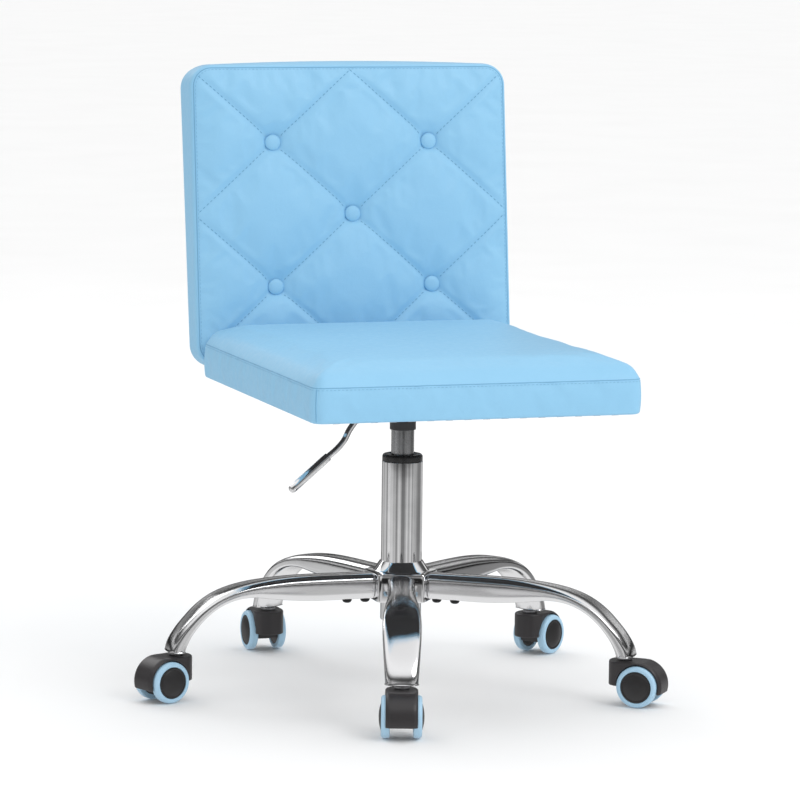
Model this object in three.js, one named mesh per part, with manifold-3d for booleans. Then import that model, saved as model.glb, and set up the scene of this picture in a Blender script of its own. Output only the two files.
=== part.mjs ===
// Swivel office chair: tufted back, boxed seat, gas lift, five-legged base on twin-wheel casters.
// Millimetres, +Z up, the floor at z = 0. The sitter faces -Y, and -X is the sitter's right.
import * as THREE from 'three';
import * as BufferGeometryUtils from 'three/addons/utils/BufferGeometryUtils.js';
import Module from 'manifold-3d';

const wasm = await Module();
wasm.setup();

// ---------------------------------------------------------------- driving dimensions

// The lift column's axis stands a little off the middle of the footprint.
const AXIS_X = 28;
const AXIS_Y = 1.5;
const GAP = 0.3;
// Half the size of a block that cuts across any piece.
const BEYOND = 400;

const BASE = {
  legs: 5, firstLegAngle: -18, casterReach: 284,
  hubApothem: 38.5, hubBottom: 111, hubTop: 146, hubCornerRound: 4,
  coneBottomRadius: 33, coneTopRadius: 26.2, coneTop: 158,
  legStart: 38.8, legEndZ: 60, legWall: 1.6, hollowTo: 258,
  spigotFrom: 30, spigotTo: 84,
};

// The leg's centre line and its oval section, from the hub out to the caster.
const LEG_STATIONS = [
  { reach: 38.8, z: 129.0, width: 34.0, depth: 32.0 },
  { reach: 75.0, z: 129.0, width: 34.0, depth: 32.0 },
  { reach: 113.0, z: 129.0, width: 34.5, depth: 32.0 },
  { reach: 142.0, z: 129.6, width: 35.5, depth: 29.5 },
  { reach: 168.0, z: 130.2, width: 38.0, depth: 24.5 },
  { reach: 192.0, z: 130.0, width: 41.5, depth: 18.5 },
  { reach: 214.0, z: 126.5, width: 44.5, depth: 15.2 },
  { reach: 234.0, z: 119.0, width: 46.0, depth: 14.2 },
  { reach: 252.0, z: 107.0, width: 45.5, depth: 14.2 },
  { reach: 266.0, z: 93.0, width: 43.6, depth: 15.0 },
  { reach: 277.5, z: 78.0, width: 41.6, depth: 17.5 },
  { reach: 284.5, z: 64.0, width: 39.6, depth: 20.0 },
  { reach: 286.5, z: 54.0, width: 39.0, depth: 20.5 },
];
const LEG_RINGS = 14;
const LEG_SIDES = 12;
const OVAL_POWER = 3.2;

const COLUMN = {
  radius: 25, wall: 2, bottom: 85, floor: 3, floorHole: 7, top: 280.5,
  collarTop: 289, bushBottom: 236, bushRadius: 22.7, bushBore: 14.35,
};

const ROD = {
  radius: 5, bottom: 80, clipRadius: 8.5, shoulderRadius: 9, headRadius: 11.6, top: 300, headHeight: 10,
};
const BEARING = { bore: 5.3, radius: 15, bottom: 88.3, top: 96 };
const CYLINDER = {
  radius: 14, bore: 12, bottom: 103, boreBottom: 108, boreTop: 322, top: 346,
  pinHole: 4.4, pinHoleBottom: 328,
};
const BUTTON = { radius: 4.1, bottom: 332.5, top: 350 };

const MECHANISM = {
  plate: 160, plateTop: 366.7, plateThickness: 3,
  boxX: 46, boxY: 36, boxBottom: 336.5, wall: 2.5,
  socketRadius: 16, socketBore: 14.3, socketBottom: 319,
  earHalfGap: 14, earThickness: 3, earHalfWidth: 8, earClearance: 1.5,
  slotHalfWidth: 6, slotBottom: 339.3, slotTop: 362,
};

const LEVER = {
  pivotX: -34, pivotZ: 352.5, rodRadius: 3.8, pinRadius: 3, pinHalfLength: 18.5,
  gripRadius: 5.3, gripTip: 4,
};
// The lever rod's bends, seen from the front: from over the release button out to the sitter's right.
const LEVER_ROUTE = [
  [4.5, 354.6], [-22, 354.6], [-36, 351.5], [-48, 343], [-60, 331], [-68, 320.5],
  [-75.5, 306.5], [-84, 297.2], [-94.7, 288.4], [-118, 268.7],
];
const GRIP_START = [-94.7, 288.4];
const GRIP_END = [-142.7, 247.9];

const SEAT = {
  width: 404, depth: 466, frontY: -283, bottom: 367, boxingTop: 408, top: 430,
  cornerRound: 14, boardInset: 8, boardThickness: 12,
};

const BACK = {
  width: 409, halfHeight: 186, centreY: 212, centreZ: 564, recline: 6.5,
  topThickness: 47, bottomThickness: 31, crown: 8.5, cornerRound: 22,
  boardInset: 12, boardThickness: 9, tuftX: 102.5, tuftZ: 90, tuftRadius: 10,
};

const BRACKET = { width: 60, thickness: 5 };
// The bracket's bent side outline, as [y, z] down its middle: under the seat, then up behind the back.
const BRACKET_ROUTE = [
  [88, 364.1], [150, 364.1], [202, 364.1], [220, 365.2], [231, 371.5], [236.1, 382], [237.7, 396],
  [240.1, 430], [243.1, 465], [246.7, 492], [251.3, 521], [255.7, 549],
];

const CASTER = {
  turn: [0, -3, 0, -17, 20],
  wheelRadius: 25, trail: 21, axleRadius: 3,
  tyreInner: 13.5, tyreOuter: 23.8, capEdge: 23.8, capCrown: 26.5, coreRadius: 18.8,
  hoodHalfWidth: 19.25, hoodRadius: 29.8, pocketRadius: 26.2, webHalfWidth: 12.9,
  hoodBottom: 16.5, housingTop: 54, turretRadius: 19.25, turretBottom: 24,
  stemRadius: 5.5, stemBottom: 40, stemTop: 71, stemFlangeRadius: 9, stemFlangeTop: 57.5,
};

const COLOURS = {
  leather: 0x8fcdf2, tyre: 0x9ecbee, plastic: 0x2e2d2d, chrome: 0xd6d7d8,
  steel: 0x8b8d90, dark: 0x3c3d40, wood: 0xc8a878, black: 0x1c1c1d,
};

// ---------------------------------------------------------------- geometry helpers

const radians = THREE.MathUtils.degToRad;

// One closed, merged mesh with no empty triangles and its faces pointing out.
function closedMesh(geometry) {
  const bare = geometry.index ? geometry.toNonIndexed() : geometry.clone();
  bare.deleteAttribute('normal');
  bare.deleteAttribute('uv');
  const merged = BufferGeometryUtils.mergeVertices(bare, 1e-4);
  const position = merged.attributes.position;
  const corner = (i) => new THREE.Vector3().fromBufferAttribute(position, i);
  const triangles = [];
  let volume = 0;
  for (let i = 0; i < merged.index.count; i += 3) {
    const [a, b, c] = [0, 1, 2].map((k) => merged.index.getX(i + k));
    if (a === b || b === c || c === a) continue;
    triangles.push([a, b, c]);
    volume += corner(a).dot(corner(b).cross(corner(c)));
  }
  const facing = volume < 0 ? triangles.map(([a, b, c]) => [a, c, b]) : triangles;
  merged.setIndex(facing.flat());
  return merged;
}

function toSolid(geometry) {
  const mesh = closedMesh(geometry);
  return new wasm.Manifold(new wasm.Mesh({
    numProp: 3,
    vertProperties: new Float32Array(mesh.attributes.position.array),
    triVerts: new Uint32Array(mesh.index.array),
  }));
}

function toGeometry(solid) {
  const mesh = solid.getMesh();
  const geometry = new THREE.BufferGeometry();
  geometry.setAttribute('position', new THREE.BufferAttribute(new Float32Array(mesh.vertProperties), 3));
  geometry.setIndex(new THREE.BufferAttribute(new Uint32Array(mesh.triVerts), 1));
  return geometry;
}

// A body turned about Z from [radius, z] points.
function turned(points, sides) {
  const profile = points.map(([radius, z]) => new THREE.Vector2(radius, z));
  return closedMesh(new THREE.LatheGeometry(profile, sides).rotateX(Math.PI / 2));
}

function ring(inner, outer, bottom, top, sides) {
  return turned([[inner, bottom], [outer, bottom], [outer, top], [inner, top], [inner, bottom]], sides);
}

function disc(radius, bottom, top, sides) {
  return turned([[0, bottom], [radius, bottom], [radius, top], [0, top]], sides);
}

function box(x0, x1, y0, y1, z0, z1) {
  const geometry = new THREE.BoxGeometry(x1 - x0, y1 - y0, z1 - z0);
  return geometry.translate((x0 + x1) / 2, (y0 + y1) / 2, (z0 + z1) / 2);
}

// A body through rings of points, each ring with the same count, with flat ends.
function lofted(rings) {
  const sides = rings[0].length;
  const vertices = rings.flat();
  const triangles = [];
  for (let r = 0; r + 1 < rings.length; r += 1) {
    for (let s = 0; s < sides; s += 1) {
      const a = r * sides + s;
      const b = r * sides + (s + 1) % sides;
      triangles.push(a, b, b + sides, a, b + sides, a + sides);
    }
  }
  [0, rings.length - 1].forEach((r) => {
    const middle = rings[r].reduce((sum, point) => sum.add(point), new THREE.Vector3());
    middle.divideScalar(sides);
    const hub = vertices.push(middle) - 1;
    for (let s = 0; s < sides; s += 1) {
      const a = r * sides + s;
      const b = r * sides + (s + 1) % sides;
      triangles.push(...(r === 0 ? [hub, b, a] : [hub, a, b]));
    }
  });
  const geometry = new THREE.BufferGeometry().setFromPoints(vertices);
  geometry.setIndex(triangles);
  return closedMesh(geometry);
}

// A rounded rectangle's outline, anticlockwise, with the same count of points at any size.
function roundedRectangle(width, height, round, cornerSteps) {
  const points = [];
  [[1, 1], [-1, 1], [-1, -1], [1, -1]].forEach(([sx, sy], corner) => {
    for (let i = 0; i <= cornerSteps; i += 1) {
      const angle = (corner + i / cornerSteps) * Math.PI / 2;
      points.push([
        sx * (width / 2 - round) + round * Math.cos(angle),
        sy * (height / 2 - round) + round * Math.sin(angle),
      ]);
    }
  });
  return points;
}

function oval(width, depth, sides) {
  return Array.from({ length: sides }, (_, i) => {
    const angle = (i + 0.5) * 2 * Math.PI / sides;
    const shrink = (value) => Math.sign(value) * Math.abs(value) ** (2 / OVAL_POWER);
    return [width / 2 * shrink(Math.cos(angle)), depth / 2 * shrink(Math.sin(angle))];
  });
}

// ---------------------------------------------------------------- scene helpers

const group = new THREE.Group();
const axis = new THREE.Group();
axis.position.set(AXIS_X, AXIS_Y, 0);
group.add(axis);

function add(parent, name, geometry, colour, roughness, metalness) {
  const material = new THREE.MeshStandardMaterial({ color: colour, roughness, metalness });
  const mesh = new THREE.Mesh(geometry, material);
  mesh.name = name;
  parent.add(mesh);
  return mesh;
}

const chrome = (parent, name, geometry) => add(parent, name, geometry, COLOURS.chrome, 0.08, 1);
const plastic = (parent, name, geometry) => add(parent, name, geometry, COLOURS.plastic, 0.45, 0);
const leather = (parent, name, geometry) => add(parent, name, geometry, COLOURS.leather, 0.5, 0);

// ---------------------------------------------------------------- five-legged base

// Rings round the leg along its centre line; a shrink makes the inside of the tube.
function legTube(shrink, fromReach) {
  const centres = LEG_STATIONS.map(({ reach, z }) => new THREE.Vector3(reach, 0, z));
  const sizes = LEG_STATIONS.map(({ width, depth }) => new THREE.Vector3(width, depth, 0));
  const path = new THREE.CatmullRomCurve3(centres);
  const section = new THREE.CatmullRomCurve3(sizes);
  const rings = [];
  for (let i = 0; i < LEG_RINGS; i += 1) {
    const t = i / (LEG_RINGS - 1);
    const centre = path.getPoint(t);
    const tangent = path.getTangent(t);
    const across = new THREE.Vector3(-tangent.z, 0, tangent.x);
    const size = section.getPoint(t);
    if (i === 0) centre.x = fromReach;
    rings.push(oval(size.x - 2 * shrink, size.y - 2 * shrink, LEG_SIDES).map(([side, up]) => (
      centre.clone().addScaledVector(across, up).add(new THREE.Vector3(0, side, 0))
    )));
  }
  return lofted(rings);
}

function legGeometry() {
  const { legStart, legEndZ, legWall, hollowTo, casterReach } = BASE;
  const above = toSolid(box(0, BEYOND, -BEYOND, BEYOND, legEndZ, BEYOND));
  const inboard = toSolid(box(-1, hollowTo, -BEYOND, BEYOND, 0, BEYOND));
  const hollow = toSolid(legTube(legWall, legStart - 1)).intersect(inboard);
  const stemHole = disc(CASTER.stemRadius + GAP, 0, CASTER.stemTop + 1, 12).translate(casterReach, 0, 0);
  const tube = toSolid(legTube(0, legStart)).intersect(above);
  return toGeometry(tube.subtract(hollow).subtract(toSolid(stemHole)));
}

function hubGeometry() {
  const { legs, hubApothem, hubBottom, hubTop, hubCornerRound } = BASE;
  const { coneBottomRadius, coneTopRadius, coneTop } = BASE;
  const outline = new THREE.Shape();
  const cornerRadius = hubApothem / Math.cos(Math.PI / legs) - hubCornerRound / Math.cos(Math.PI / legs);
  for (let k = 0; k < legs; k += 1) {
    const corner = (2 * k + 1) * Math.PI / legs;
    const centre = [cornerRadius * Math.cos(corner), cornerRadius * Math.sin(corner)];
    const half = Math.PI / legs;
    outline.absarc(centre[0], centre[1], hubCornerRound, corner - half, corner + half, false);
  }
  const prism = new THREE.ExtrudeGeometry(outline, {
    depth: hubTop - hubBottom, bevelEnabled: false, curveSegments: 3,
  });
  prism.translate(0, 0, hubBottom);
  const cone = turned([[0, hubTop - 2], [coneBottomRadius, hubTop - 2], [coneBottomRadius, hubTop + 1],
    [coneTopRadius, coneTop], [0, coneTop]], 32);
  const first = LEG_STATIONS[0];
  const inside = 2 * (BASE.legWall + GAP);
  const spigotSection = oval(first.width - inside, first.depth - inside, LEG_SIDES);
  const spigot = lofted([BASE.spigotFrom, BASE.spigotTo].map((reach) => (
    spigotSection.map(([side, up]) => new THREE.Vector3(reach, side, first.z + up))
  )));
  let hub = toSolid(prism).add(toSolid(cone));
  for (let k = 0; k < legs; k += 1) {
    hub = hub.add(toSolid(spigot.clone().rotateZ(2 * Math.PI * k / legs)));
  }
  return toGeometry(hub.subtract(toSolid(disc(COLUMN.radius + GAP, 0, coneTop + 1, 36))));
}

// Angle of a leg about Z, counted from +X. Leg 1 is the front one, and the count runs anticlockwise.
const legAngle = (k) => radians(BASE.firstLegAngle + 360 * k / BASE.legs - 90);

const base = new THREE.Group();
axis.add(base);
chrome(base, 'base_hub', hubGeometry()).rotation.z = legAngle(0);
for (let k = 0; k < BASE.legs; k += 1) {
  chrome(base, `base_leg_${k + 1}`, legGeometry()).rotation.z = legAngle(k);
}

// ---------------------------------------------------------------- lift column

function columnGeometry() {
  const { radius, wall, bottom, floor, floorHole, top } = COLUMN;
  return turned([
    [floorHole, bottom], [radius, bottom], [radius, top], [radius - wall, top],
    [radius - wall, bottom + floor], [floorHole, bottom + floor], [floorHole, bottom],
  ], 36);
}

function collarGeometry() {
  const { radius, top, collarTop, bushBottom, bushRadius, bushBore } = COLUMN;
  return turned([
    [bushBore, bushBottom], [bushRadius, bushBottom], [bushRadius, top + GAP], [radius - 0.4, top + GAP],
    [radius - 0.4, collarTop - 2], [radius - 2.4, collarTop],
    [bushBore, collarTop], [bushBore, bushBottom],
  ], 28);
}

chrome(axis, 'column_tube', columnGeometry());
plastic(axis, 'column_collar', collarGeometry());

// ---------------------------------------------------------------- gas lift

function rodGeometry() {
  const { radius, bottom, clipRadius, shoulderRadius, headRadius, top, headHeight } = ROD;
  const clipTop = COLUMN.bottom - GAP;
  const shoulderBottom = BEARING.top + GAP;
  return turned([
    [0, bottom], [radius, bottom], [radius, clipTop - 2.7], [clipRadius, clipTop - 2.7],
    [clipRadius, clipTop], [radius, clipTop], [radius, shoulderBottom], [shoulderRadius, shoulderBottom],
    [shoulderRadius, shoulderBottom + 3], [radius, shoulderBottom + 3], [radius, top - headHeight],
    [headRadius, top - headHeight], [headRadius, top], [0, top],
  ], 16);
}

function cylinderGeometry() {
  const { radius, bore, bottom, boreBottom, boreTop, top, pinHole, pinHoleBottom } = CYLINDER;
  const rodHole = ROD.radius + GAP;
  return turned([
    [0, boreTop], [bore, boreTop], [bore, boreBottom], [rodHole, boreBottom], [rodHole, bottom],
    [radius, bottom], [radius, top], [pinHole, top], [pinHole, pinHoleBottom], [0, pinHoleBottom],
  ], 28);
}

add(axis, 'piston_rod', rodGeometry(), COLOURS.steel, 0.2, 1);
const bearing = ring(BEARING.bore, BEARING.radius, BEARING.bottom, BEARING.top, 20);
add(axis, 'thrust_bearing', bearing, COLOURS.steel, 0.4, 1);
add(axis, 'gas_cylinder', cylinderGeometry(), COLOURS.steel, 0.3, 1);
add(axis, 'release_button', disc(BUTTON.radius, BUTTON.bottom, BUTTON.top, 16), COLOURS.steel, 0.4, 1);

// ---------------------------------------------------------------- tilt-free mechanism and its lever

function mechanismGeometry() {
  const m = MECHANISM;
  const half = m.plate / 2;
  const plateBottom = m.plateTop - m.plateThickness;
  let body = toSolid(box(-half, half, -half, half, plateBottom, m.plateTop));
  body = body.add(toSolid(box(-m.boxX, m.boxX, -m.boxY, m.boxY, m.boxBottom, m.plateTop)));
  const insideX = m.boxX - m.wall;
  const insideY = m.boxY - m.wall;
  const floorTop = m.boxBottom + m.wall;
  body = body.subtract(toSolid(box(-insideX, insideX, -insideY, insideY, floorTop, plateBottom)));
  body = body.add(toSolid(disc(m.socketRadius, m.socketBottom, floorTop, 28)));
  const ear = box(
    LEVER.pivotX - m.earHalfWidth, LEVER.pivotX + m.earHalfWidth,
    m.earHalfGap, m.earHalfGap + m.earThickness, floorTop - 0.5, plateBottom - m.earClearance,
  );
  body = body.add(toSolid(ear)).add(toSolid(ear.clone().scale(1, -1, 1)));
  const pinReach = LEVER.pinHalfLength + 1;
  const pinHole = disc(LEVER.pinRadius + GAP, -pinReach, pinReach, 16).rotateX(Math.PI / 2);
  pinHole.translate(LEVER.pivotX, 0, LEVER.pivotZ);
  body = body.subtract(toSolid(pinHole));
  body = body.subtract(toSolid(disc(m.socketBore, m.socketBottom - 1, floorTop + 1, 28)));
  const slot = box(-m.boxX - 1, -insideX + 1, -m.slotHalfWidth, m.slotHalfWidth, m.slotBottom, m.slotTop);
  return toGeometry(body.subtract(toSolid(slot)));
}

function roundBar(points, radius, steps) {
  const path = new THREE.CatmullRomCurve3(points, false, 'centripetal');
  const section = new THREE.Shape().absarc(0, 0, radius, 0, 2 * Math.PI, false);
  const settings = { extrudePath: path, steps, curveSegments: 5, bevelEnabled: false };
  return new THREE.ExtrudeGeometry(section, settings);
}

function leverGeometry() {
  const rod = roundBar(LEVER_ROUTE.map(([x, z]) => new THREE.Vector3(x, 0, z)), LEVER.rodRadius, 20);
  const pin = disc(LEVER.pinRadius, -LEVER.pinHalfLength, LEVER.pinHalfLength, 16).rotateX(Math.PI / 2);
  pin.translate(LEVER.pivotX, 0, LEVER.pivotZ);
  return toGeometry(toSolid(rod).add(toSolid(pin)));
}

// A sleeve over the rod's outer end, with a rounded tip. It is turned about Z, then laid along the lever.
function gripGeometry() {
  const { rodRadius, gripRadius, gripTip } = LEVER;
  const bore = rodRadius + GAP;
  const start = new THREE.Vector3(GRIP_START[0], 0, GRIP_START[1]);
  const end = new THREE.Vector3(GRIP_END[0], 0, GRIP_END[1]);
  const length = start.distanceTo(end);
  const last = LEVER_ROUTE[LEVER_ROUTE.length - 1];
  const boreEnd = start.distanceTo(new THREE.Vector3(last[0], 0, last[1])) + 1;
  const sleeve = turned([
    [0, boreEnd], [bore, boreEnd], [bore, 0], [gripRadius - 0.8, 0], [gripRadius, 1],
    [gripRadius, length - gripTip], [gripRadius * 0.75, length - gripTip * 0.3], [0, length],
  ], 14);
  const along = end.clone().sub(start).normalize();
  sleeve.applyQuaternion(new THREE.Quaternion().setFromUnitVectors(new THREE.Vector3(0, 0, 1), along));
  return sleeve.translate(start.x, start.y, start.z);
}

add(axis, 'seat_mechanism', mechanismGeometry(), COLOURS.dark, 0.5, 0.6);
chrome(axis, 'lever_rod', leverGeometry());
chrome(axis, 'lever_grip', gripGeometry());

// ---------------------------------------------------------------- seat

function seatRing(inset, z) {
  const { width, depth, frontY, cornerRound } = SEAT;
  const round = Math.max(cornerRound - inset, 4);
  return roundedRectangle(width - 2 * inset, depth - 2 * inset, round, 4).map(([x, y]) => (
    new THREE.Vector3(x, y + frontY + depth / 2, z)
  ));
}

function seatGeometries() {
  const { bottom, boxingTop, top, boardInset, boardThickness } = SEAT;
  const board = lofted([seatRing(boardInset, bottom), seatRing(boardInset, bottom + boardThickness)]);
  const cushion = lofted([
    seatRing(3, bottom), seatRing(0, bottom + 4), seatRing(0, boxingTop), seatRing(5, boxingTop + 9),
    seatRing(16, boxingTop + 15), seatRing(50, top),
  ]);
  const pocket = lofted([
    seatRing(boardInset - GAP, bottom - 1), seatRing(boardInset - GAP, bottom + boardThickness + GAP),
  ]);
  return { board, cushion: toGeometry(toSolid(cushion).subtract(toSolid(pocket))) };
}

const seat = seatGeometries();
add(axis, 'seat_board', seat.board, COLOURS.wood, 0.7, 0);
leather(axis, 'seat_cushion', seat.cushion);

// ---------------------------------------------------------------- back

// Thickness of the back pad at a height above its middle.
function backThickness(z) {
  const middle = (BACK.topThickness + BACK.bottomThickness) / 2;
  return middle + (BACK.topThickness - BACK.bottomThickness) * z / (2 * BACK.halfHeight);
}

// A ring of the back pad: depth 0 is the front seam, and rear rings follow the tapered rear face.
function backRing(inset, depthAt) {
  const { width, halfHeight, cornerRound } = BACK;
  const round = Math.max(cornerRound - inset, 6);
  return roundedRectangle(width - 2 * inset, 2 * (halfHeight - inset), round, 4).map(([x, z]) => (
    new THREE.Vector3(x, depthAt(z), z)
  ));
}

function backGeometries() {
  const { crown, boardInset, boardThickness, tuftX, tuftZ, tuftRadius } = BACK;
  const rear = (offset) => (z) => backThickness(z) + offset;
  const flat = (depth) => () => depth;
  const board = lofted([backRing(boardInset, rear(-boardThickness)), backRing(boardInset, rear(0))]);
  const pocket = lofted([
    backRing(boardInset - GAP, rear(-boardThickness - GAP)), backRing(boardInset - GAP, rear(1)),
  ]);
  const pad = lofted([
    backRing(22, flat(-crown)), backRing(7, flat(-crown + 4)), backRing(0, flat(0)),
    backRing(0, rear(-3)), backRing(3, rear(0)),
  ]);
  let cushion = toSolid(pad).subtract(toSolid(pocket));
  const tufts = [[-tuftX, tuftZ], [tuftX, tuftZ], [0, 0], [-tuftX, -tuftZ], [tuftX, -tuftZ]];
  const buttons = tufts.map(([x, z]) => {
    const well = disc(tuftRadius + 0.6, -6, crown + 1, 16).rotateX(Math.PI / 2).translate(x, 0, z);
    cushion = cushion.subtract(toSolid(well));
    const cap = turned([
      [0, -5.5], [tuftRadius, -5.5], [tuftRadius, -1],
      [tuftRadius * 0.8, 1.2], [tuftRadius * 0.45, 2.2], [0, 2.5],
    ], 16);
    return cap.rotateX(Math.PI / 2).translate(x, 0, z);
  });
  return { board, cushion: toGeometry(cushion), buttons };
}

const back = new THREE.Group();
back.position.set(0, BACK.centreY, BACK.centreZ);
back.rotation.x = -radians(BACK.recline);
axis.add(back);
const backParts = backGeometries();
add(back, 'back_board', backParts.board, COLOURS.wood, 0.7, 0);
leather(back, 'back_cushion', backParts.cushion);
backParts.buttons.forEach((geometry, i) => leather(back, `tuft_button_${i + 1}`, geometry));

// A flat bar bent along its route, extruded sideways across its width.
function bracketGeometry() {
  const route = new THREE.SplineCurve(BRACKET_ROUTE.map(([y, z]) => new THREE.Vector2(y, z)));
  const samples = 24;
  const sides = [[], []];
  for (let i = 0; i <= samples; i += 1) {
    const point = route.getPoint(i / samples);
    const tangent = route.getTangent(i / samples);
    const normal = new THREE.Vector2(-tangent.y, tangent.x).multiplyScalar(BRACKET.thickness / 2);
    sides[0].push(point.clone().add(normal));
    sides[1].push(point.clone().sub(normal));
  }
  const outline = new THREE.Shape([...sides[0], ...sides[1].reverse()]);
  const bar = new THREE.ExtrudeGeometry(outline, { depth: BRACKET.width, bevelEnabled: false });
  // The outline is drawn in x, y and extruded along z: turn it so that it stands in y, z across x.
  const turn = new THREE.Matrix4().makeBasis(
    new THREE.Vector3(0, 1, 0), new THREE.Vector3(0, 0, 1), new THREE.Vector3(1, 0, 0),
  );
  return bar.applyMatrix4(turn).translate(-BRACKET.width / 2, 0, 0);
}

add(axis, 'back_bracket', bracketGeometry(), COLOURS.black, 0.45, 0.5);

// ---------------------------------------------------------------- casters

// In a caster's own frame the stem stands on Z and the wheels trail towards +X, with their axle along Y.
function alongAxle(geometry, side = 1) {
  return geometry.rotateX(side * Math.PI / 2).translate(CASTER.trail, 0, CASTER.wheelRadius);
}

function housingGeometry() {
  const c = CASTER;
  const turret = disc(c.turretRadius, c.turretBottom, c.housingTop, 28);
  const hood = alongAxle(disc(c.hoodRadius, -c.hoodHalfWidth, c.hoodHalfWidth, 32));
  const trailingHalf = box(0, BEYOND, -BEYOND, BEYOND, c.hoodBottom, c.housingTop);
  const bridge = box(0, c.trail, -c.hoodHalfWidth, c.hoodHalfWidth, c.turretBottom, c.housingTop);
  let body = toSolid(hood).intersect(toSolid(trailingHalf)).add(toSolid(turret)).add(toSolid(bridge));
  [1, -1].forEach((side) => {
    const near = side * c.webHalfWidth;
    const far = side * BEYOND;
    const pocket = alongAxle(disc(c.pocketRadius, Math.min(near, far), Math.max(near, far), 32));
    body = body.subtract(toSolid(pocket));
  });
  body = body.subtract(toSolid(alongAxle(disc(c.axleRadius + GAP, -BEYOND, BEYOND, 12))));
  return toGeometry(body.subtract(toSolid(disc(c.stemRadius + GAP, c.stemBottom - 1, BEYOND, 12))));
}

function stemGeometry() {
  const c = CASTER;
  return turned([
    [0, c.stemBottom], [c.stemRadius, c.stemBottom], [c.stemRadius, c.housingTop + GAP],
    [c.stemFlangeRadius, c.housingTop + GAP], [c.stemFlangeRadius, c.stemFlangeTop],
    [c.stemRadius, c.stemFlangeTop], [c.stemRadius, c.stemTop - 2],
    [c.stemRadius - 2, c.stemTop], [0, c.stemTop],
  ], 12);
}

function axleGeometry() {
  const end = CASTER.capEdge - 3;
  return alongAxle(disc(CASTER.axleRadius, -end, end, 12));
}

// The black wheel body: a flat disc inside, a shallow dome outside, and a blind hole for the axle.
function coreGeometry(side) {
  const c = CASTER;
  const hole = c.axleRadius + GAP;
  const holeEnd = c.capEdge - 3 + GAP;
  const profile = [
    [hole, c.tyreInner], [c.coreRadius, c.tyreInner], [c.coreRadius, c.capEdge],
    [c.coreRadius * 0.6, c.capCrown - 0.6], [0, c.capCrown],
    [0, holeEnd], [hole, holeEnd], [hole, c.tyreInner],
  ];
  return alongAxle(turned(profile, 20), side);
}

function tyreGeometry(side) {
  const c = CASTER;
  const inner = c.coreRadius + GAP;
  return alongAxle(turned([
    [inner, c.tyreInner], [c.wheelRadius, c.tyreInner], [c.wheelRadius, c.tyreOuter - 3.5],
    [c.wheelRadius - 2.5, c.tyreOuter], [inner, c.tyreOuter], [inner, c.tyreInner],
  ], 20), side);
}

for (let k = 0; k < BASE.legs; k += 1) {
  const caster = new THREE.Group();
  const angle = legAngle(k);
  caster.position.set(BASE.casterReach * Math.cos(angle), BASE.casterReach * Math.sin(angle), 0);
  caster.rotation.z = angle + radians(CASTER.turn[k]);
  axis.add(caster);
  const name = `caster_${k + 1}`;
  plastic(caster, `${name}_housing`, housingGeometry());
  add(caster, `${name}_stem`, stemGeometry(), COLOURS.steel, 0.4, 1);
  add(caster, `${name}_axle`, axleGeometry(), COLOURS.steel, 0.4, 1);
  [['a', 1], ['b', -1]].forEach(([letter, side]) => {
    plastic(caster, `${name}_wheel_${letter}`, coreGeometry(side));
    add(caster, `${name}_tyre_${letter}`, tyreGeometry(side), COLOURS.tyre, 0.55, 0);
  });
}

export default group;
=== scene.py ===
"""Swivel office chair: the looks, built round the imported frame.

Shapes are drawn in millimetres from the lift column's axis on the floor. A made piece's mesh holds metres in
the frame's own axes. The sitter faces -Y, and -X is the sitter's right.
"""
import math

import bmesh
import bpy
import numpy as np
from mathutils import Matrix, Vector
from mathutils.bvhtree import BVHTree


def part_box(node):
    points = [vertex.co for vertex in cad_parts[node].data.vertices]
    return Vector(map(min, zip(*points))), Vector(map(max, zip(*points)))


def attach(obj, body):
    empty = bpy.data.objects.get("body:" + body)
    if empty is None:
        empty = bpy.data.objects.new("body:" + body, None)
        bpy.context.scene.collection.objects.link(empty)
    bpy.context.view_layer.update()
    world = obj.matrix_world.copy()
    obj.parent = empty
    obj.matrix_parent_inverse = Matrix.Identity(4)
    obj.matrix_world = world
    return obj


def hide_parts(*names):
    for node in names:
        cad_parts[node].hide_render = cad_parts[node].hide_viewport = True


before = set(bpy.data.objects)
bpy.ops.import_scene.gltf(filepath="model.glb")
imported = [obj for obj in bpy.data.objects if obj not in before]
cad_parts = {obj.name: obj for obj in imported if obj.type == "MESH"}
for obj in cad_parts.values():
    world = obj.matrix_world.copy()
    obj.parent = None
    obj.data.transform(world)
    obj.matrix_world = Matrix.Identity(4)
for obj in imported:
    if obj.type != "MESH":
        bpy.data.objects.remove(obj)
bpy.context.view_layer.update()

MM = 0.001
RIGHT, REAR, UP = Vector((1, 0, 0)), Vector((0, 1, 0)), Vector((0, 0, 1))
scene = bpy.context.scene
column_low, column_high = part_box("column_tube")
AXIS = Vector((column_low.x + column_high.x, column_low.y + column_high.y, 0)) / 2
ROW = Matrix.Translation(AXIS) @ Matrix.Scale(MM, 4)

# ---------------------------------------------------------------- driving dimensions

LEGS = 5
FIRST_LEG_ANGLE = -108
CASTER_REACH = 284
CASTER_TURNS = (0, -3, 0, -17, 20)

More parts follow.
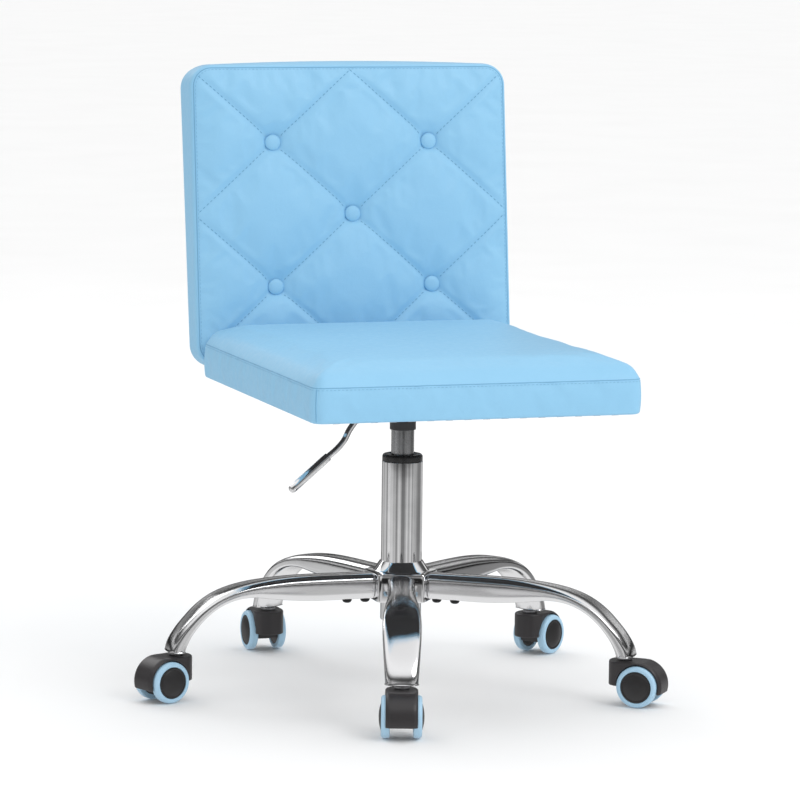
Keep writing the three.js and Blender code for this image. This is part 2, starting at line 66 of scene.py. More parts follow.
# The leg's centre line and oval section: reach from the axis, height, width and depth.
LEG_STATIONS = (
    (38.8, 129.0, 34.0, 32.0), (75.0, 129.0, 34.0, 32.0), (113.0, 129.0, 34.5, 32.0),
    (142.0, 129.6, 35.5, 29.5), (168.0, 130.2, 38.0, 24.5), (192.0, 130.0, 41.5, 18.5),
    (214.0, 126.5, 44.5, 15.2), (234.0, 119.0, 46.0, 14.2), (252.0, 107.0, 45.5, 14.2),
    (266.0, 93.0, 43.6, 15.0), (277.5, 78.0, 41.6, 17.5), (284.5, 64.0, 39.6, 20.0),
    (286.5, 54.0, 39.0, 20.5),
)
LEG_END_Z = 60
LEG_LIP = dict(flare=0.9, drop=1.2, ease=1.0)
OVAL_POWER = 3.2
LEG_BOLTS = dict(reaches=(46, 69), radius=6, height=5, z=113.2)
HUB = dict(apothem=38.5, bottom=111, top=146, cone_base=33, cone_top=26.2, cone_z=158, bore=25.3, power=30)

# Turned parts as (radius, height). A third number is that corner's own radius.
COLUMN_PROFILE = ((7, 85), (25, 85, 1.6), (25, 280.5, 0.9), (23, 280.5, 0.5), (23, 88), (7, 88))
COLLAR_PROFILE = (
    (14.35, 236), (22.7, 236), (22.7, 280.9, 0.2), (24.7, 280.9, 0.4), (24.7, 286.9, 1.2),
    (22.9, 289, 0.8), (18, 289.2, 0.6), (16.2, 288.2, 0.5), (14.35, 288.2),
)
GAS_CYLINDER_PROFILE = (
    (5.3, 108), (5.3, 103), (14, 103, 1.5), (14, 346, 0.8), (4.4, 346, 0.5), (4.4, 328), (0, 328),
)
PISTON_ROD_PROFILE = (
    (0, 80), (5, 80, 0.8), (5, 82), (8.5, 82, 0.4), (8.5, 84.7, 0.4), (5, 84.7), (5, 96.3), (9, 96.3, 0.4),
    (9, 99.3, 0.4), (5, 99.3), (5, 290), (11.6, 290), (11.6, 300), (0, 300),
)
BEARING_PROFILE = ((5.3, 88.3), (15, 88.3), (15, 96), (5.3, 96))
RELEASE_PROFILE = ((0, 332.5), (4.1, 332.5), (4.1, 350, 1.0), (0, 350))
STEM_PROFILE = (
    (0, 40), (5.5, 40, 0.8), (5.5, 54.3), (9, 54.3, 0.5), (9, 57.5, 0.6), (5.5, 57.5), (5.5, 69.5), (3.8, 71),
    (0, 71),
)
# A wheel's and its tyre's, as (radius, distance out from the caster's middle).
WHEEL_PROFILE = (
    (3.3, 13.5), (17.6, 13.5, 0.6), (18.8, 14.2, 0.4), (18.8, 22.6), (18.5, 23.8, 0.5), (16.9, 24.0, 0.6),
    (16.2, 23.5, 0.3), (15.4, 24.1, 0.6), (10, 25.7, 4), (4.5, 26.4, 3), (0, 26.5),
)
TYRE_PROFILE = (
    (19.1, 13.5), (23.6, 13.5, 1.2), (25, 14.6, 1.4), (25, 20.4, 2.4), (24.2, 22.6, 2.0), (22.4, 23.8, 1.6),
    (19.9, 23.9, 0.8), (19.1, 23.3, 0.4),
)

PLATE_BOLTS = dict(reach=66, z=363.6, radius=6.2, height=4, washer=9, thickness=1.4)
LEVER_ROUTE = (
    (4.5, 354.6), (-22, 354.6), (-36, 351.5), (-48, 343), (-60, 331), (-68, 320.5),
    (-75.5, 306.5), (-84, 297.2), (-94.7, 288.4), (-118, 268.7),
)
LEVER = dict(
    radius=3.8, pivot_x=-34, pivot_z=352.5, pin_radius=3, pin_half=18.5, clip_radius=5.2, clip_y=17.2,
    grip_radius=5.3,
)
GRIP_START = Vector((-94.7, 0, 288.4))
GRIP_END = Vector((-142.7, 0, 247.9))

SEAT = dict(
    half_x=202, half_y=233, y=-50, bottom=367, seam=408.5, round=13,
    roll=12.5, roll_reach=6.5, crown=14.5, crown_reach=24, inset=1.2, board_inset=20,
)
STAPLES = dict(past_board=8, along_sides=18, along_ends=16)
BACK = dict(
    half_x=207, half_z=187, y=212, z=564, recline=6.5, top=47, bottom=31, round=27, swell=5,
    inset=3.8, rear_inset=13, rear_round=19,
)
TUFT_X, TUFT_Z = 102.5, 90
TUFTS = ((-1, 1), (1, 1), (0, 0), (-1, -1), (1, -1))

BRACKET_ROUTE = (
    (88, 364.1), (150, 364.1), (202, 364.1), (220, 365.2), (231, 371.5), (236.1, 382), (237.7, 396),
    (240.1, 430), (243.1, 465), (246.7, 492), (251.3, 521), (255.7, 549),
)
BRACKET = dict(
    half_width=30, half_thickness=2.5, end_round=9.0, rib_depth=2.2, rib_half=9, rib_start=130, rib_end=78,
    rib_ramp=22,
)
# Bolts of the bracket: through its foot (y from the axis) and through its top (distance from the end).
FOOT_BOLTS = dict(at=(104, 136), x=18, z=361.6, radius=6, height=4)
TOP_BOLTS = dict(at=(14, 58), x=17, radius=6, height=4.2, washer=8.5, thickness=1.3)
EDGE_STITCH = dict(length=3.4, pitch=4.8, radius=0.26)
REAR_STITCH = dict(length=3.8, pitch=5.8, radius=0.36)

CASTER = dict(
    trail=21, axle_z=25, hood_radius=29.8, hood_half=19.25, pocket_radius=26.2, web_half=12.9,
    turret_radius=19.25, turret_bottom=24, top=54, hood_bottom=16.5, stem_hole=5.8, stem_floor=39,
    axle_hole=3.3, axle_radius=3, axle_half=20.8,
)
CAMERA = dict(
    azimuth=-18.45, elevation=7.3, roll=0.7, distance=5286, sideways=-3.9, height=354.6, lens=195.8,
    sensor=36,
)

# ---------------------------------------------------------------- camera


def add_camera():
    azimuth, elevation, roll = (math.radians(CAMERA[key]) for key in ("azimuth", "elevation", "roll"))
    away = Vector((
        math.sin(azimuth) * math.cos(elevation), -math.cos(azimuth) * math.cos(elevation), math.sin(elevation)
    ))
    level = Vector((math.cos(azimuth), math.sin(azimuth), 0))
    above = away.cross(level)
    across = level * math.cos(roll) + above * math.sin(roll)
    turn = Matrix((across, away.cross(across), away)).transposed().to_4x4()
    eye = level * CAMERA["sideways"] + UP * CAMERA["height"] + away * CAMERA["distance"]
    camera = bpy.data.objects.new("camera", bpy.data.cameras.new("camera"))
    camera.data.lens = CAMERA["lens"]
    camera.data.sensor_width = CAMERA["sensor"]
    camera.data.clip_end = 100
    camera.matrix_world = Matrix.Translation(ROW @ eye) @ turn
    scene.collection.objects.link(camera)
    scene.camera = camera


add_camera()

# ---------------------------------------------------------------- materials


def feed(tree, node, key, value):
    """Links a socket to the node's input, or sets the input to a value."""
    if isinstance(value, bpy.types.NodeSocket):
        tree.links.new(value, node.inputs[key])
    else:
        node.inputs[key].default_value = value


def new_node(tree, kind, inputs, operation=None):
    """A node whose inputs are given by name or by number."""
    made = tree.nodes.new(kind)
    if operation:
        made.operation = operation
    for key, value in inputs.items():
        feed(tree, made, key, value)
    return made


class Graph:
    """A material's node tree, with short ways to add textures and maths."""

    def __init__(self, name):
        self.material = bpy.data.materials.new(name)
        self.material.use_nodes = True
        self.tree = self.material.node_tree
        self.shader = self.tree.nodes["Principled BSDF"]
        self.place = self.tree.nodes.new("ShaderNodeTexCoord").outputs["Object"]

    def node(self, kind, **inputs):
        return new_node(self.tree, kind, {key.replace("_", " "): value for key, value in inputs.items()})

    def noise(self, scale, detail=2.0, distortion=0.0, place=None):
        made = self.node(
            "ShaderNodeTexNoise", Vector=place or self.place, Scale=scale, Detail=detail, Distortion=distortion,
        )
        return made.outputs["Fac"]

    def cells(self, scale, feature="F1"):
        made = self.node("ShaderNodeTexVoronoi", Vector=self.place, Scale=scale)
        made.feature = feature
        return made.outputs["Distance"]

    def stretched(self, x, y, z):
        return self.node("ShaderNodeMapping", Vector=self.place, Scale=(x, y, z)).outputs["Vector"]

    def ramp(self, value, low, high, low_in=0.0, high_in=1.0):
        inputs = {"Value": value, "From Min": low_in, "From Max": high_in, "To Min": low, "To Max": high}
        return new_node(self.tree, "ShaderNodeMapRange", inputs).outputs["Result"]

    def blend(self, factor, first, second):
        made = self.tree.nodes.new("ShaderNodeMix")
        made.data_type = "RGBA"
        feed(self.tree, made, "Factor", factor)
        for index, value in ((6, first), (7, second)):
            colour = value if isinstance(value, bpy.types.NodeSocket) else (*value, 1)
            feed(self.tree, made, index, colour)
        return made.outputs[2]

    def edges(self, low, high):
        """1 on convex edges, 0 in the flat and in hollows."""
        pointiness = self.tree.nodes.new("ShaderNodeNewGeometry").outputs["Pointiness"]
        return self.ramp(pointiness, 0, 1, low, high)

    def bump(self, *layers):
        """Each layer is (height, strength, depth in metres), laid one on the other."""
        normal = None
        for height, strength, depth in layers:
            made = self.node("ShaderNodeBump", Height=height, Strength=strength, Distance=depth)
            if normal:
                self.tree.links.new(normal, made.inputs["Normal"])
            normal = made.outputs["Normal"]
        feed(self.tree, self.shader, "Normal", normal)

    def finish(self, colour, roughness, **constants):
        feed(self.tree, self.shader, "Base Color", colour)
        feed(self.tree, self.shader, "Roughness", roughness)
        for key, value in constants.items():
            self.shader.inputs[key.replace("_", " ")].default_value = value
        return self.material


def leather(name, colour, shade, grain=1.0):
    """Coated fabric: a fine pebbled grain, soft stretch marks and a dull sheen, paler where an edge rubs."""
    g = Graph(name)
    cloudy = g.ramp(g.noise(9, 3), 0, 1, 0.3, 0.7)
    body = g.blend(cloudy, shade, colour)
    worn = g.blend(g.edges(0.53, 0.64), body, [min(1, c * 1.06 + 0.02) for c in colour])
    pebbles = g.cells(760 / grain, "SMOOTH_F1")
    creases = g.noise(55, 4, 0.8, g.stretched(1, 1.7, 1))
    g.bump((creases, 0.10, 0.004), (pebbles, 0.16, 0.0005), (g.noise(2600, 2), 0.08, 0.0002))
    gloss = g.ramp(g.noise(140, 3), 0.40, 0.54, 0.3, 0.7)
    return g.finish(worn, gloss, Specular_IOR_Level=0.42, Sheen_Weight=0.06, Sheen_Roughness=0.4)


def chrome(name, along=(1, 1, 1)):
    """Bright plating: an even mirror with faint waves from polishing and a few hairlines."""
    g = Graph(name)
    waves = g.noise(28, 2, 0.3)
    hairlines = g.noise(900, 2, 0.0, g.stretched(*along))
    colour = g.blend(g.ramp(g.noise(40, 3), 0, 1, 0.35, 0.65), (0.80, 0.80, 0.81), (0.90, 0.90, 0.91))
    g.bump((waves, 0.05, 0.002), (hairlines, 0.012, 0.0002))
    return g.finish(colour, g.ramp(g.noise(160, 4), 0.035, 0.11, 0.3, 0.75), Metallic=1.0)


def steel(name, colour, low, high):
    """Zinc plate or drawn steel: turned lines round the part and patchy gloss."""
    g = Graph(name)
    lines = g.noise(420, 3, 0.0, g.stretched(0.15, 0.15, 8))
    patches = g.blend(g.ramp(g.noise(90, 4), 0, 1, 0.3, 0.7), colour, [c * 0.82 for c in colour])
    g.bump((lines, 0.06, 0.0003))
    return g.finish(patches, g.ramp(g.noise(70, 4), low, high, 0.3, 0.7), Metallic=1.0)


def painted(name, colour, low, high, metallic=0.0, texture=0.0004):
    """Powder coat: an orange-peel skin, rubbed a little on its edges."""
    g = Graph(name)
    body = g.blend(g.ramp(g.noise(30, 4), 0, 1, 0.3, 0.7), colour, [c * 0.8 for c in colour])
    rubbed = g.blend(g.edges(0.56, 0.72), body, [min(1, c * 1.8 + 0.04) for c in colour])
    g.bump((g.noise(650, 3), 0.22, texture), (g.noise(45, 2), 0.05, 0.002))
    return g.finish(rubbed, g.ramp(g.noise(120, 3), low, high, 0.3, 0.7), Metallic=metallic)


def moulded(name, colour, low, high, edge=0.03):
    """Injection moulded plastic with a fine spark-eroded texture and paler, handled edges."""
    g = Graph(name)
    body = g.blend(g.ramp(g.noise(60, 4), 0, 1, 0.3, 0.7), colour, [c * 0.86 for c in colour])
    handled = g.blend(g.edges(0.54, 0.68), body, [min(1, c * 1.25 + edge) for c in colour])
    g.bump((g.noise(2300, 2), 0.14, 0.0002), (g.noise(60, 2), 0.04, 0.002))
    return g.finish(handled, g.ramp(g.noise(200, 3), low, high, 0.3, 0.7))


BLUE = (0.268, 0.548, 0.775)
BLUE_SHADE = (0.255, 0.530, 0.757)
LEATHER = leather("blue_leather", BLUE, BLUE_SHADE)
BUTTON_LEATHER = leather("button_leather", BLUE, BLUE_SHADE, grain=0.8)
# Thread: its own darker blue, deepened further as painted shade of the gaps round each stitch.
THREAD_AND_PAINTED_SHADE = leather("stitching_thread_and_painted_shade", (0.09, 0.29, 0.48), (0.08, 0.26, 0.45), grain=0.5)
# Seam leather: the cover's blue darkened as painted shade of the crease along each seam. It is used for the
# seams' cords and the edge stitches.
SEAM_PAINTED_SHADE = leather("seam_fold_painted_shade", (0.15, 0.38, 0.58), (0.14, 0.35, 0.55))
CHROME = chrome("chrome_plate")
COLUMN_CHROME = chrome("chrome_drawn_tube", (1, 1, 0.05))
ZINC = steel("zinc_steel", (0.55, 0.55, 0.57), 0.22, 0.40)
CYLINDER = steel("cylinder_satin_steel", (0.46, 0.465, 0.475), 0.20, 0.30)
MECHANISM = painted("mechanism_black_paint", (0.045, 0.046, 0.05), 0.32, 0.46)
BOLT_BLACK = painted("bolt_black_oxide", (0.02, 0.02, 0.021), 0.28, 0.42, 0.6)
PLASTIC = moulded("black_plastic", (0.034, 0.031, 0.033), 0.28, 0.42, 0.015)
COLLAR_PLASTIC = moulded("collar_plastic", (0.020, 0.020, 0.021), 0.20, 0.32)
CAP_PLASTIC = moulded("wheel_cap_plastic", (0.022, 0.021, 0.022), 0.30, 0.44)
TYRE = moulded("blue_tyre_rubber", (0.42, 0.65, 0.83), 0.30, 0.46)
LINING = painted("dust_cover_cloth", (0.03, 0.03, 0.032), 0.75, 0.9, 0.0, 0.0008)

# ---------------------------------------------------------------- mesh helpers


def mesh_of(name, vertices, faces, sharp_angle=38):
    mesh = bpy.data.meshes.new(name)
    mesh.from_pydata([tuple(v) for v in vertices], [], [tuple(f) for f in faces])
    bm = bmesh.new()
    bm.from_mesh(mesh)
    bmesh.ops.recalc_face_normals(bm, faces=bm.faces)
    bm.to_mesh(mesh)
    bm.free()
    mesh.shade_smooth()
    mesh.set_sharp_from_angle(angle=math.radians(sharp_angle))
    return mesh


def show(name, shape, material, body, stands_for=(), place=None, sharp_angle=38):
    """Makes a piece from (vertices, faces) in millimetres, or from a mesh, and puts it on its body."""
    place = place or Matrix.Identity(4)
    if isinstance(shape, bpy.types.Mesh):
        piece = bpy.data.objects.new(name, shape)
        piece.matrix_world = ROW @ place
    else:
        vertices, faces = shape
        mesh = mesh_of(name, [ROW @ (place @ Vector(v)) for v in vertices], faces, sharp_angle)
        piece = bpy.data.objects.new(name, mesh)
    scene.collection.objects.link(piece)
    if not piece.data.materials:
        piece.data.materials.append(material)
    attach(piece, body)
    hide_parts(*stands_for)
    return piece


def together(shapes):
    """Several (vertices, faces) shapes as one."""
    vertices, faces = [], []
    for more_vertices, more_faces in shapes:
        start = len(vertices)
        vertices += list(more_vertices)
        faces += [[start + i for i in face] for face in more_faces]
    return vertices, faces


def moved(shape, matrix):
    vertices, faces = shape
    return [matrix @ Vector(v) for v in vertices], faces


def joined_rings(rings, closed=False, caps=True):
    """A skin over rings of points. A ring of one point closes an end."""
    vertices = [point for ring in rings for point in ring]
    starts = np.cumsum([0] + [len(ring) for ring in rings])
    faces = []
    pairs = [(i, i + 1) for i in range(len(rings) - 1)] + ([(len(rings) - 1, 0)] if closed else [])
    for i, j in pairs:
        sides = max(len(rings[i]), len(rings[j]))
        for s in range(sides):
            here = [starts[k] + (n % len(rings[k])) for k, n in ((i, s), (i, s + 1), (j, s + 1), (j, s))]
            faces.append(list(dict.fromkeys(here)))
    if caps and not closed:
        for k in (0, len(rings) - 1):
            if len(rings[k]) > 2:
                faces.append([starts[k] + s for s in range(len(rings[k]))])
    return vertices, faces


def rounded(points, radius, steps=4, closed=False):
    """The outline with its corners eased. A point's third number is its own radius."""
    count = len(points)
    eased = []
    for i, point in enumerate(points):
        if not closed and i in (0, count - 1):
            eased.append(point[:2])
            continue
        corner = np.array(point[:2], float)
        before = np.array(points[i - 1][:2], float) - corner
        after = np.array(points[(i + 1) % count][:2], float) - corner
        reach = point[2] if len(point) > 2 else radius
        reach = min(reach, 0.48 * np.linalg.norm(before), 0.48 * np.linalg.norm(after))
        start = corner + before / np.linalg.norm(before) * reach
        end = corner + after / np.linalg.norm(after) * reach
        for t in np.linspace(0, 1, steps + 1):
            eased.append(tuple((1 - t) ** 2 * start + 2 * t * (1 - t) * corner + t * t * end))
    return eased


def turned(profile, sides=96, closed=False):
    """A body turned about Z from (radius, z) points."""
    rings = []
    for radius, z in profile:
        if radius < 1e-6:
            rings.append([Vector((0, 0, z))])
            continue
        angles = [2 * math.pi * s / sides for s in range(sides)]
        rings.append([Vector((radius * math.cos(a), radius * math.sin(a), z)) for a in angles])
    return joined_rings(rings, closed)


def smooth_path(points, count):
    """Points spaced evenly along a smooth curve through the given ones, in any number of columns."""
    control = np.array(points, float)
    knots = np.concatenate([[0], np.cumsum(np.linalg.norm(np.diff(control[:, :2], axis=0), axis=1))])
    slopes = np.gradient(control, knots, axis=0)
    made = []
    for t in np.linspace(0, knots[-1], count):
        i = min(int(np.searchsorted(knots, t, "right")) - 1, len(knots) - 2)
        span = knots[i + 1] - knots[i]
        u = (t - knots[i]) / span
        made.append(
            (2 * u**3 - 3 * u**2 + 1) * control[i] + (u**3 - 2 * u**2 + u) * span * slopes[i]
            + (3 * u**2 - 2 * u**3) * control[i + 1] + (u**3 - u**2) * span * slopes[i + 1]
        )
    return np.array(made)


def swept(path, side, outline_at):
    """A body along a flat path. Its sections are (across, up): across along side, up square to the path."""
    rings = []
    for i, point in enumerate(path):
        ahead = (path[min(i + 1, len(path) - 1)] - path[max(i - 1, 0)]).normalized()
        above = ahead.cross(side)
        rings.append([point + side * across + above * up for across, up in outline_at(i)])
    return joined_rings(rings)


def circle(radius, sides=40):
    angles = [2 * math.pi * s / sides for s in range(sides)]
    return [(radius * math.cos(a), radius * math.sin(a)) for a in angles]


def oval(width, depth, sides=72):
    def shrink(value):
        return math.copysign(abs(value) ** (2 / OVAL_POWER), value)

    angles = [(s + 0.5) * 2 * math.pi / sides for s in range(sides)]
    return [(width / 2 * shrink(math.cos(a)), depth / 2 * shrink(math.sin(a))) for a in angles]


def about_z(degrees):
    return Matrix.Rotation(math.radians(degrees), 4, "Z")


def facing(direction):
    """Turns +Z to look along a direction."""
    return Vector(direction).to_track_quat("Z", "Y").to_matrix().to_4x4()


def bolt_head(radius, height, socket=0.42):
    """A domed head on its flat face, with a hexagon socket's recess drawn as a shallow cup."""
    cup = radius * socket
    profile = [(0, height * 0.45), (cup * 0.9, height * 0.45), (cup, height * 0.93), (cup * 1.15, height)]
    profile += [(radius * 0.8, height * 0.8), (radius, height * 0.35), (radius, 0), (0, 0)]
    return turned(rounded(profile, 0.5, 3), 32)


def bolt_on_washer(radius, height, washer, thickness):
    """A bolt's head on its washer, which lies on the flat face."""
    disc = turned(rounded([(0, 0), (washer, 0), (washer, thickness), (0, thickness)], 0.3), 40)
    return together([disc, moved(bolt_head(radius, height), Matrix.Translation((0, 0, thickness)))])


# ---------------------------------------------------------------- five-legged base


def leg_angle(k):
    return FIRST_LEG_ANGLE + 360 * k / LEGS


def leg_mesh():
    """The tube from the hub out and down, cut level over the caster, its rim rolled bright."""
    stations = smooth_path(LEG_STATIONS, 90)
    path = [Vector((reach, 0, z)) for reach, z, _, _ in stations]
    path[0].x = LEG_STATIONS[0][0]
    vertices, faces = swept(path, REAR, lambda i: oval(stations[i][2], stations[i][3]))
    bm = bmesh.new()
    made = [bm.verts.new(v) for v in vertices]
    for face in faces:
        bm.faces.new([made[i] for i in face])
    bmesh.ops.recalc_face_normals(bm, faces=bm.faces)
    cut = bmesh.ops.bisect_plane(
        bm, geom=bm.verts[:] + bm.edges[:] + bm.faces[:], dist=1e-4,
        plane_co=(0, 0, LEG_END_Z), plane_no=(0, 0, -1), clear_outer=True,
    )
    rim = [e for e in cut["geom_cut"] if isinstance(e, bmesh.types.BMEdge)]
    filled = bmesh.ops.contextual_create(bm, geom=rim)["faces"]
    lip = bmesh.ops.extrude_face_region(bm, geom=filled)["geom"]
    low = [v for v in lip if isinstance(v, bmesh.types.BMVert)]
    centre = sum((v.co for v in low), Vector()) / len(low)
    for v in low:
        v.co += (v.co - centre).normalized() * LEG_LIP["flare"] - UP * LEG_LIP["drop"]
    bmesh.ops.delete(bm, geom=filled, context="FACES_ONLY")
    ends = [f for f in bm.faces if len(f.verts) > 8]
    bmesh.ops.bevel(
        bm, geom=[e for f in ends for e in f.edges], offset=LEG_LIP["ease"], segments=3, affect="EDGES",
        profile=0.5,
    )
    mesh = bpy.data.meshes.new("leg")
    bm.normal_update()
    bm.to_mesh(mesh)
    bm.free()
    mesh.shade_smooth()
    mesh.set_sharp_from_angle(angle=math.radians(40))
    return mesh


def hub_shape():
    """A five-sided block with eased edges, under a cone that meets the column."""
    sides = 160

    def radius_at(angle, roundness, apothem):
        total = sum(max(0, math.cos(angle - 2 * math.pi * k / LEGS)) ** HUB["power"] for k in range(LEGS))
        return (1 - roundness) * apothem / total ** (1 / HUB["power"]) + roundness * apothem

    flat, bottom, top, cone_z = HUB["apothem"], HUB["bottom"], HUB["top"], HUB["cone_z"]
    foot, tip, bore = HUB["cone_base"], HUB["cone_top"], HUB["bore"]
    # Each ring is (0 for five-sided to 1 for round, distance of its flats, height).
    profile = (
        (0, flat - 1.6, bottom), (0, flat - 0.5, bottom + 0.5), (0, flat, bottom + 1.6), (0, flat, top - 2.4),
        (0, flat - 0.7, top - 0.7), (0.15, flat - 2.4, top), (1, foot + 1.2, top + 0.4), (1, foot, top + 1.4),
        (1, tip + 0.6, cone_z - 0.8), (1, tip, cone_z), (1, bore, cone_z - 0.3), (1, bore, bottom + 4),
    )
    rings = []
    for roundness, apothem, z in profile:
        ring = []
        for s in range(sides):
            angle = 2 * math.pi * s / sides
            radius = radius_at(angle, roundness, apothem)
            ring.append(Vector((radius * math.cos(angle), radius * math.sin(angle), z)))
        rings.append(ring)
    return joined_rings(rings, closed=True)


def add_base():
    show("base_hub_plated", hub_shape(), CHROME, "base", ["base_hub"], about_z(leg_angle(0)),
         sharp_angle=25)
    leg = leg_mesh()
    for k in range(LEGS):
        node = f"base_leg_{k + 1}"
        show(f"{node}_plated", leg, CHROME, "base", [node], about_z(leg_angle(k)))
    head = bolt_head(LEG_BOLTS["radius"], LEG_BOLTS["height"])
    heads = []
    for k in range(LEGS):
        for reach in LEG_BOLTS["reaches"]:
            spot = about_z(leg_angle(k)) @ Matrix.Translation((reach, 0, LEG_BOLTS["z"]))
            heads.append(moved(head, spot @ facing((0, 0, -1))))
    show("leg_bolts", together(heads), BOLT_BLACK, "base")


def add_column():
    """The gas lift's parts, each turned about the column's axis."""
    column = turned(rounded(COLUMN_PROFILE, 0.4, 4, True), 128, True)
    show("column_tube_plated", column, COLUMN_CHROME, "base", ["column_tube"])
    collar = turned(rounded(COLLAR_PROFILE, 0.5, 4, True), 112, True)
    show("column_collar_moulded", collar, COLLAR_PLASTIC, "base", ["column_collar"])
    cylinder = turned([(0, GAS_CYLINDER_PROFILE[0][1])] + rounded(GAS_CYLINDER_PROFILE, 0.5), 96)
    show("gas_cylinder_satin", cylinder, CYLINDER, "seat_assembly", ["gas_cylinder"])
    rod = turned(rounded(PISTON_ROD_PROFILE, 0.3), 56)
    show("piston_rod_ground", rod, ZINC, "lift_rod", ["piston_rod"])
    race = turned(rounded(BEARING_PROFILE, 0.9, 4, True), 64, True)
    show("thrust_bearing_race", race, ZINC, "lift_rod", ["thrust_bearing"])
    button = turned(rounded(RELEASE_PROFILE, 0.4), 48)
    show("release_button_turned", button, ZINC, "release", ["release_button"])


# ---------------------------------------------------------------- mechanism and lever


def add_mechanism():
    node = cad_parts["seat_mechanism"]
    node.data.materials.clear()
    node.data.materials.append(MECHANISM)
    weld = node.modifiers.new("weld", "WELD")
    weld.merge_threshold = 1e-5
    bevel = node.modifiers.new("bevel", "BEVEL")
    bevel.width = 0.0006
    bevel.segments = 2
    bevel.angle_limit = math.radians(40)
    p = PLATE_BOLTS
    bolt = bolt_on_washer(p["radius"], p["height"], p["washer"], p["thickness"])
    heads = []
    for x in (-p["reach"], p["reach"]):
        for y in (-p["reach"], p["reach"]):
            heads.append(moved(bolt, Matrix.Translation((x, y, p["z"])) @ facing((0, 0, -1))))
    show("plate_bolts", together(heads), BOLT_BLACK, "seat_assembly")
    inner, outer = LEVER["pin_radius"], LEVER["clip_radius"]
    ring = turned(rounded([(inner, 0), (outer, 0), (outer, 1), (inner, 1)], 0.2, 2, True), 32, True)
    clips = []
    for side in (-1, 1):
        spot = Matrix.Translation((LEVER["pivot_x"], side * LEVER["clip_y"], LEVER["pivot_z"]))
        clips.append(moved(ring, spot @ facing((0, side, 0))))
    show("pivot_clips", together(clips), ZINC, "lever")


def add_lever():
    line = smooth_path(LEVER_ROUTE, 120)
    path = [Vector((x, 0, z)) for x, z in line]
    last = len(path) - 1

    def section(i):
        edge = min(i, last - i)
        ease = (0.72, 0.93, 1.0)[min(edge, 2)]
        return circle(LEVER["radius"] * ease)

    half, radius = LEVER["pin_half"], LEVER["pin_radius"]
    pin = turned(rounded([(0, -half), (radius, -half, 0.5), (radius, half, 0.5), (0, half)], 0.4), 40)
    pin_place = Matrix.Translation((LEVER["pivot_x"], 0, LEVER["pivot_z"])) @ facing((0, 1, 0))
    show("lever_rod_plated", together([swept(path, REAR, section), moved(pin, pin_place)]),
         CHROME, "lever", ["lever_rod"])
    length = (GRIP_END - GRIP_START).length
    radius = LEVER["grip_radius"]
    sleeve = [(0, 2), (3.9, 2), (4.1, 0), (radius - 0.2, 0, 0.8), (radius, 6, 3), (radius, length - 7, 6),
              (radius * 0.93, length - 2.2, 2.4), (radius * 0.5, length - 0.1, 1.6), (0, length)]
    place = Matrix.Translation(GRIP_START) @ facing(GRIP_END - GRIP_START)
    grip = turned(rounded(sleeve, 0.6), 64)
    show("lever_grip_plated", grip, CHROME, "lever", ["lever_grip"], place)


# ---------------------------------------------------------------- casters


def solid(shape):
    """A hidden object in millimetres for the boolean cuts."""
    vertices, faces = shape
    made = bpy.data.objects.new("cutter", mesh_of("cutter", vertices, faces))
    scene.collection.objects.link(made)
    return made


def block(low, high):
    corners = [(x, y, z) for x in (low[0], high[0]) for y in (low[1], high[1]) for z in (low[2], high[2])]
    return corners, [(0, 1, 3, 2), (4, 6, 7, 5), (0, 4, 5, 1), (2, 3, 7, 6), (0, 2, 6, 4), (1, 5, 7, 3)]


def baked(piece):
    """A new mesh of the piece with its modifiers applied."""
    depsgraph = bpy.context.evaluated_depsgraph_get()
    return bpy.data.meshes.new_from_object(piece.evaluated_get(depsgraph))


def cut(piece, operation, shape):
    other = solid(shape)
    step = piece.modifiers.new("cut", "BOOLEAN")
    step.operation = operation
    step.object = other
    step.solver = "EXACT"
    bpy.context.view_layer.update()
    mesh = baked(piece)
    piece.modifiers.clear()
    piece.data = mesh
    bpy.data.objects.remove(other)


def along_axle(profile, side=1, closed=False, sides=96):
    """Turned about the caster's axle: the profile's second number runs outwards along it."""
    place = Matrix.Translation((CASTER["trail"], 0, CASTER["axle_z"])) @ facing((0, side, 0))
    return moved(turned(profile, sides, closed), place)


def pin_profile(radius, half):
    return [(0, -half), (radius, -half), (radius, half), (0, half)]


def housing_mesh():
    """The hood over both wheels, with its turret, cut out for each wheel and rounded like a moulding."""
    c = CASTER
    half, radius, top, far = c["hood_half"], c["hood_radius"], c["top"], 60
    hood = [(0, -half), (radius - 3.4, -half), (radius - 1.6, 1.4 - half), (radius, 4.6 - half)]
    hood += [(r, -out) for r, out in reversed(hood)]
    body = solid(along_axle(rounded(hood, 1.6), sides=128))
    cut(body, "INTERSECT", block((0, -far, c["hood_bottom"]), (far + 20, far, top)))
    radius, bottom = c["turret_radius"], c["turret_bottom"]
    turret = [(0, bottom), (radius, bottom), (radius, top - 1.5), (radius - 1.5, top), (0, top)]
    cut(body, "UNION", turned(turret, 128))
    cut(body, "UNION", block((0, 0.4 - half, bottom), (c["trail"], half - 0.4, top - 0.2)))
    web, radius = c["web_half"], c["pocket_radius"]
    for side in (-1, 1):
        pocket = [(0, web), (radius, web), (radius, far), (0, far)]
        cut(body, "DIFFERENCE", along_axle(pocket, side, sides=128))
    cut(body, "DIFFERENCE", along_axle(pin_profile(c["axle_hole"], far), sides=32))
    floor, hole = c["stem_floor"], c["stem_hole"]
    cut(body, "DIFFERENCE", turned([(0, floor), (hole, floor), (hole, far), (0, far)], 48))
    remesh = body.modifiers.new("remesh", "REMESH")
    remesh.mode = "VOXEL"
    remesh.voxel_size = 0.75
    smooth = body.modifiers.new("smooth", "SMOOTH")
    smooth.factor = 0.5
    smooth.iterations = 7
    bpy.context.view_layer.update()
    mesh = baked(body)
    mesh.name = "caster_housing"
    mesh.shade_smooth()
    bpy.data.objects.remove(body)
    return mesh


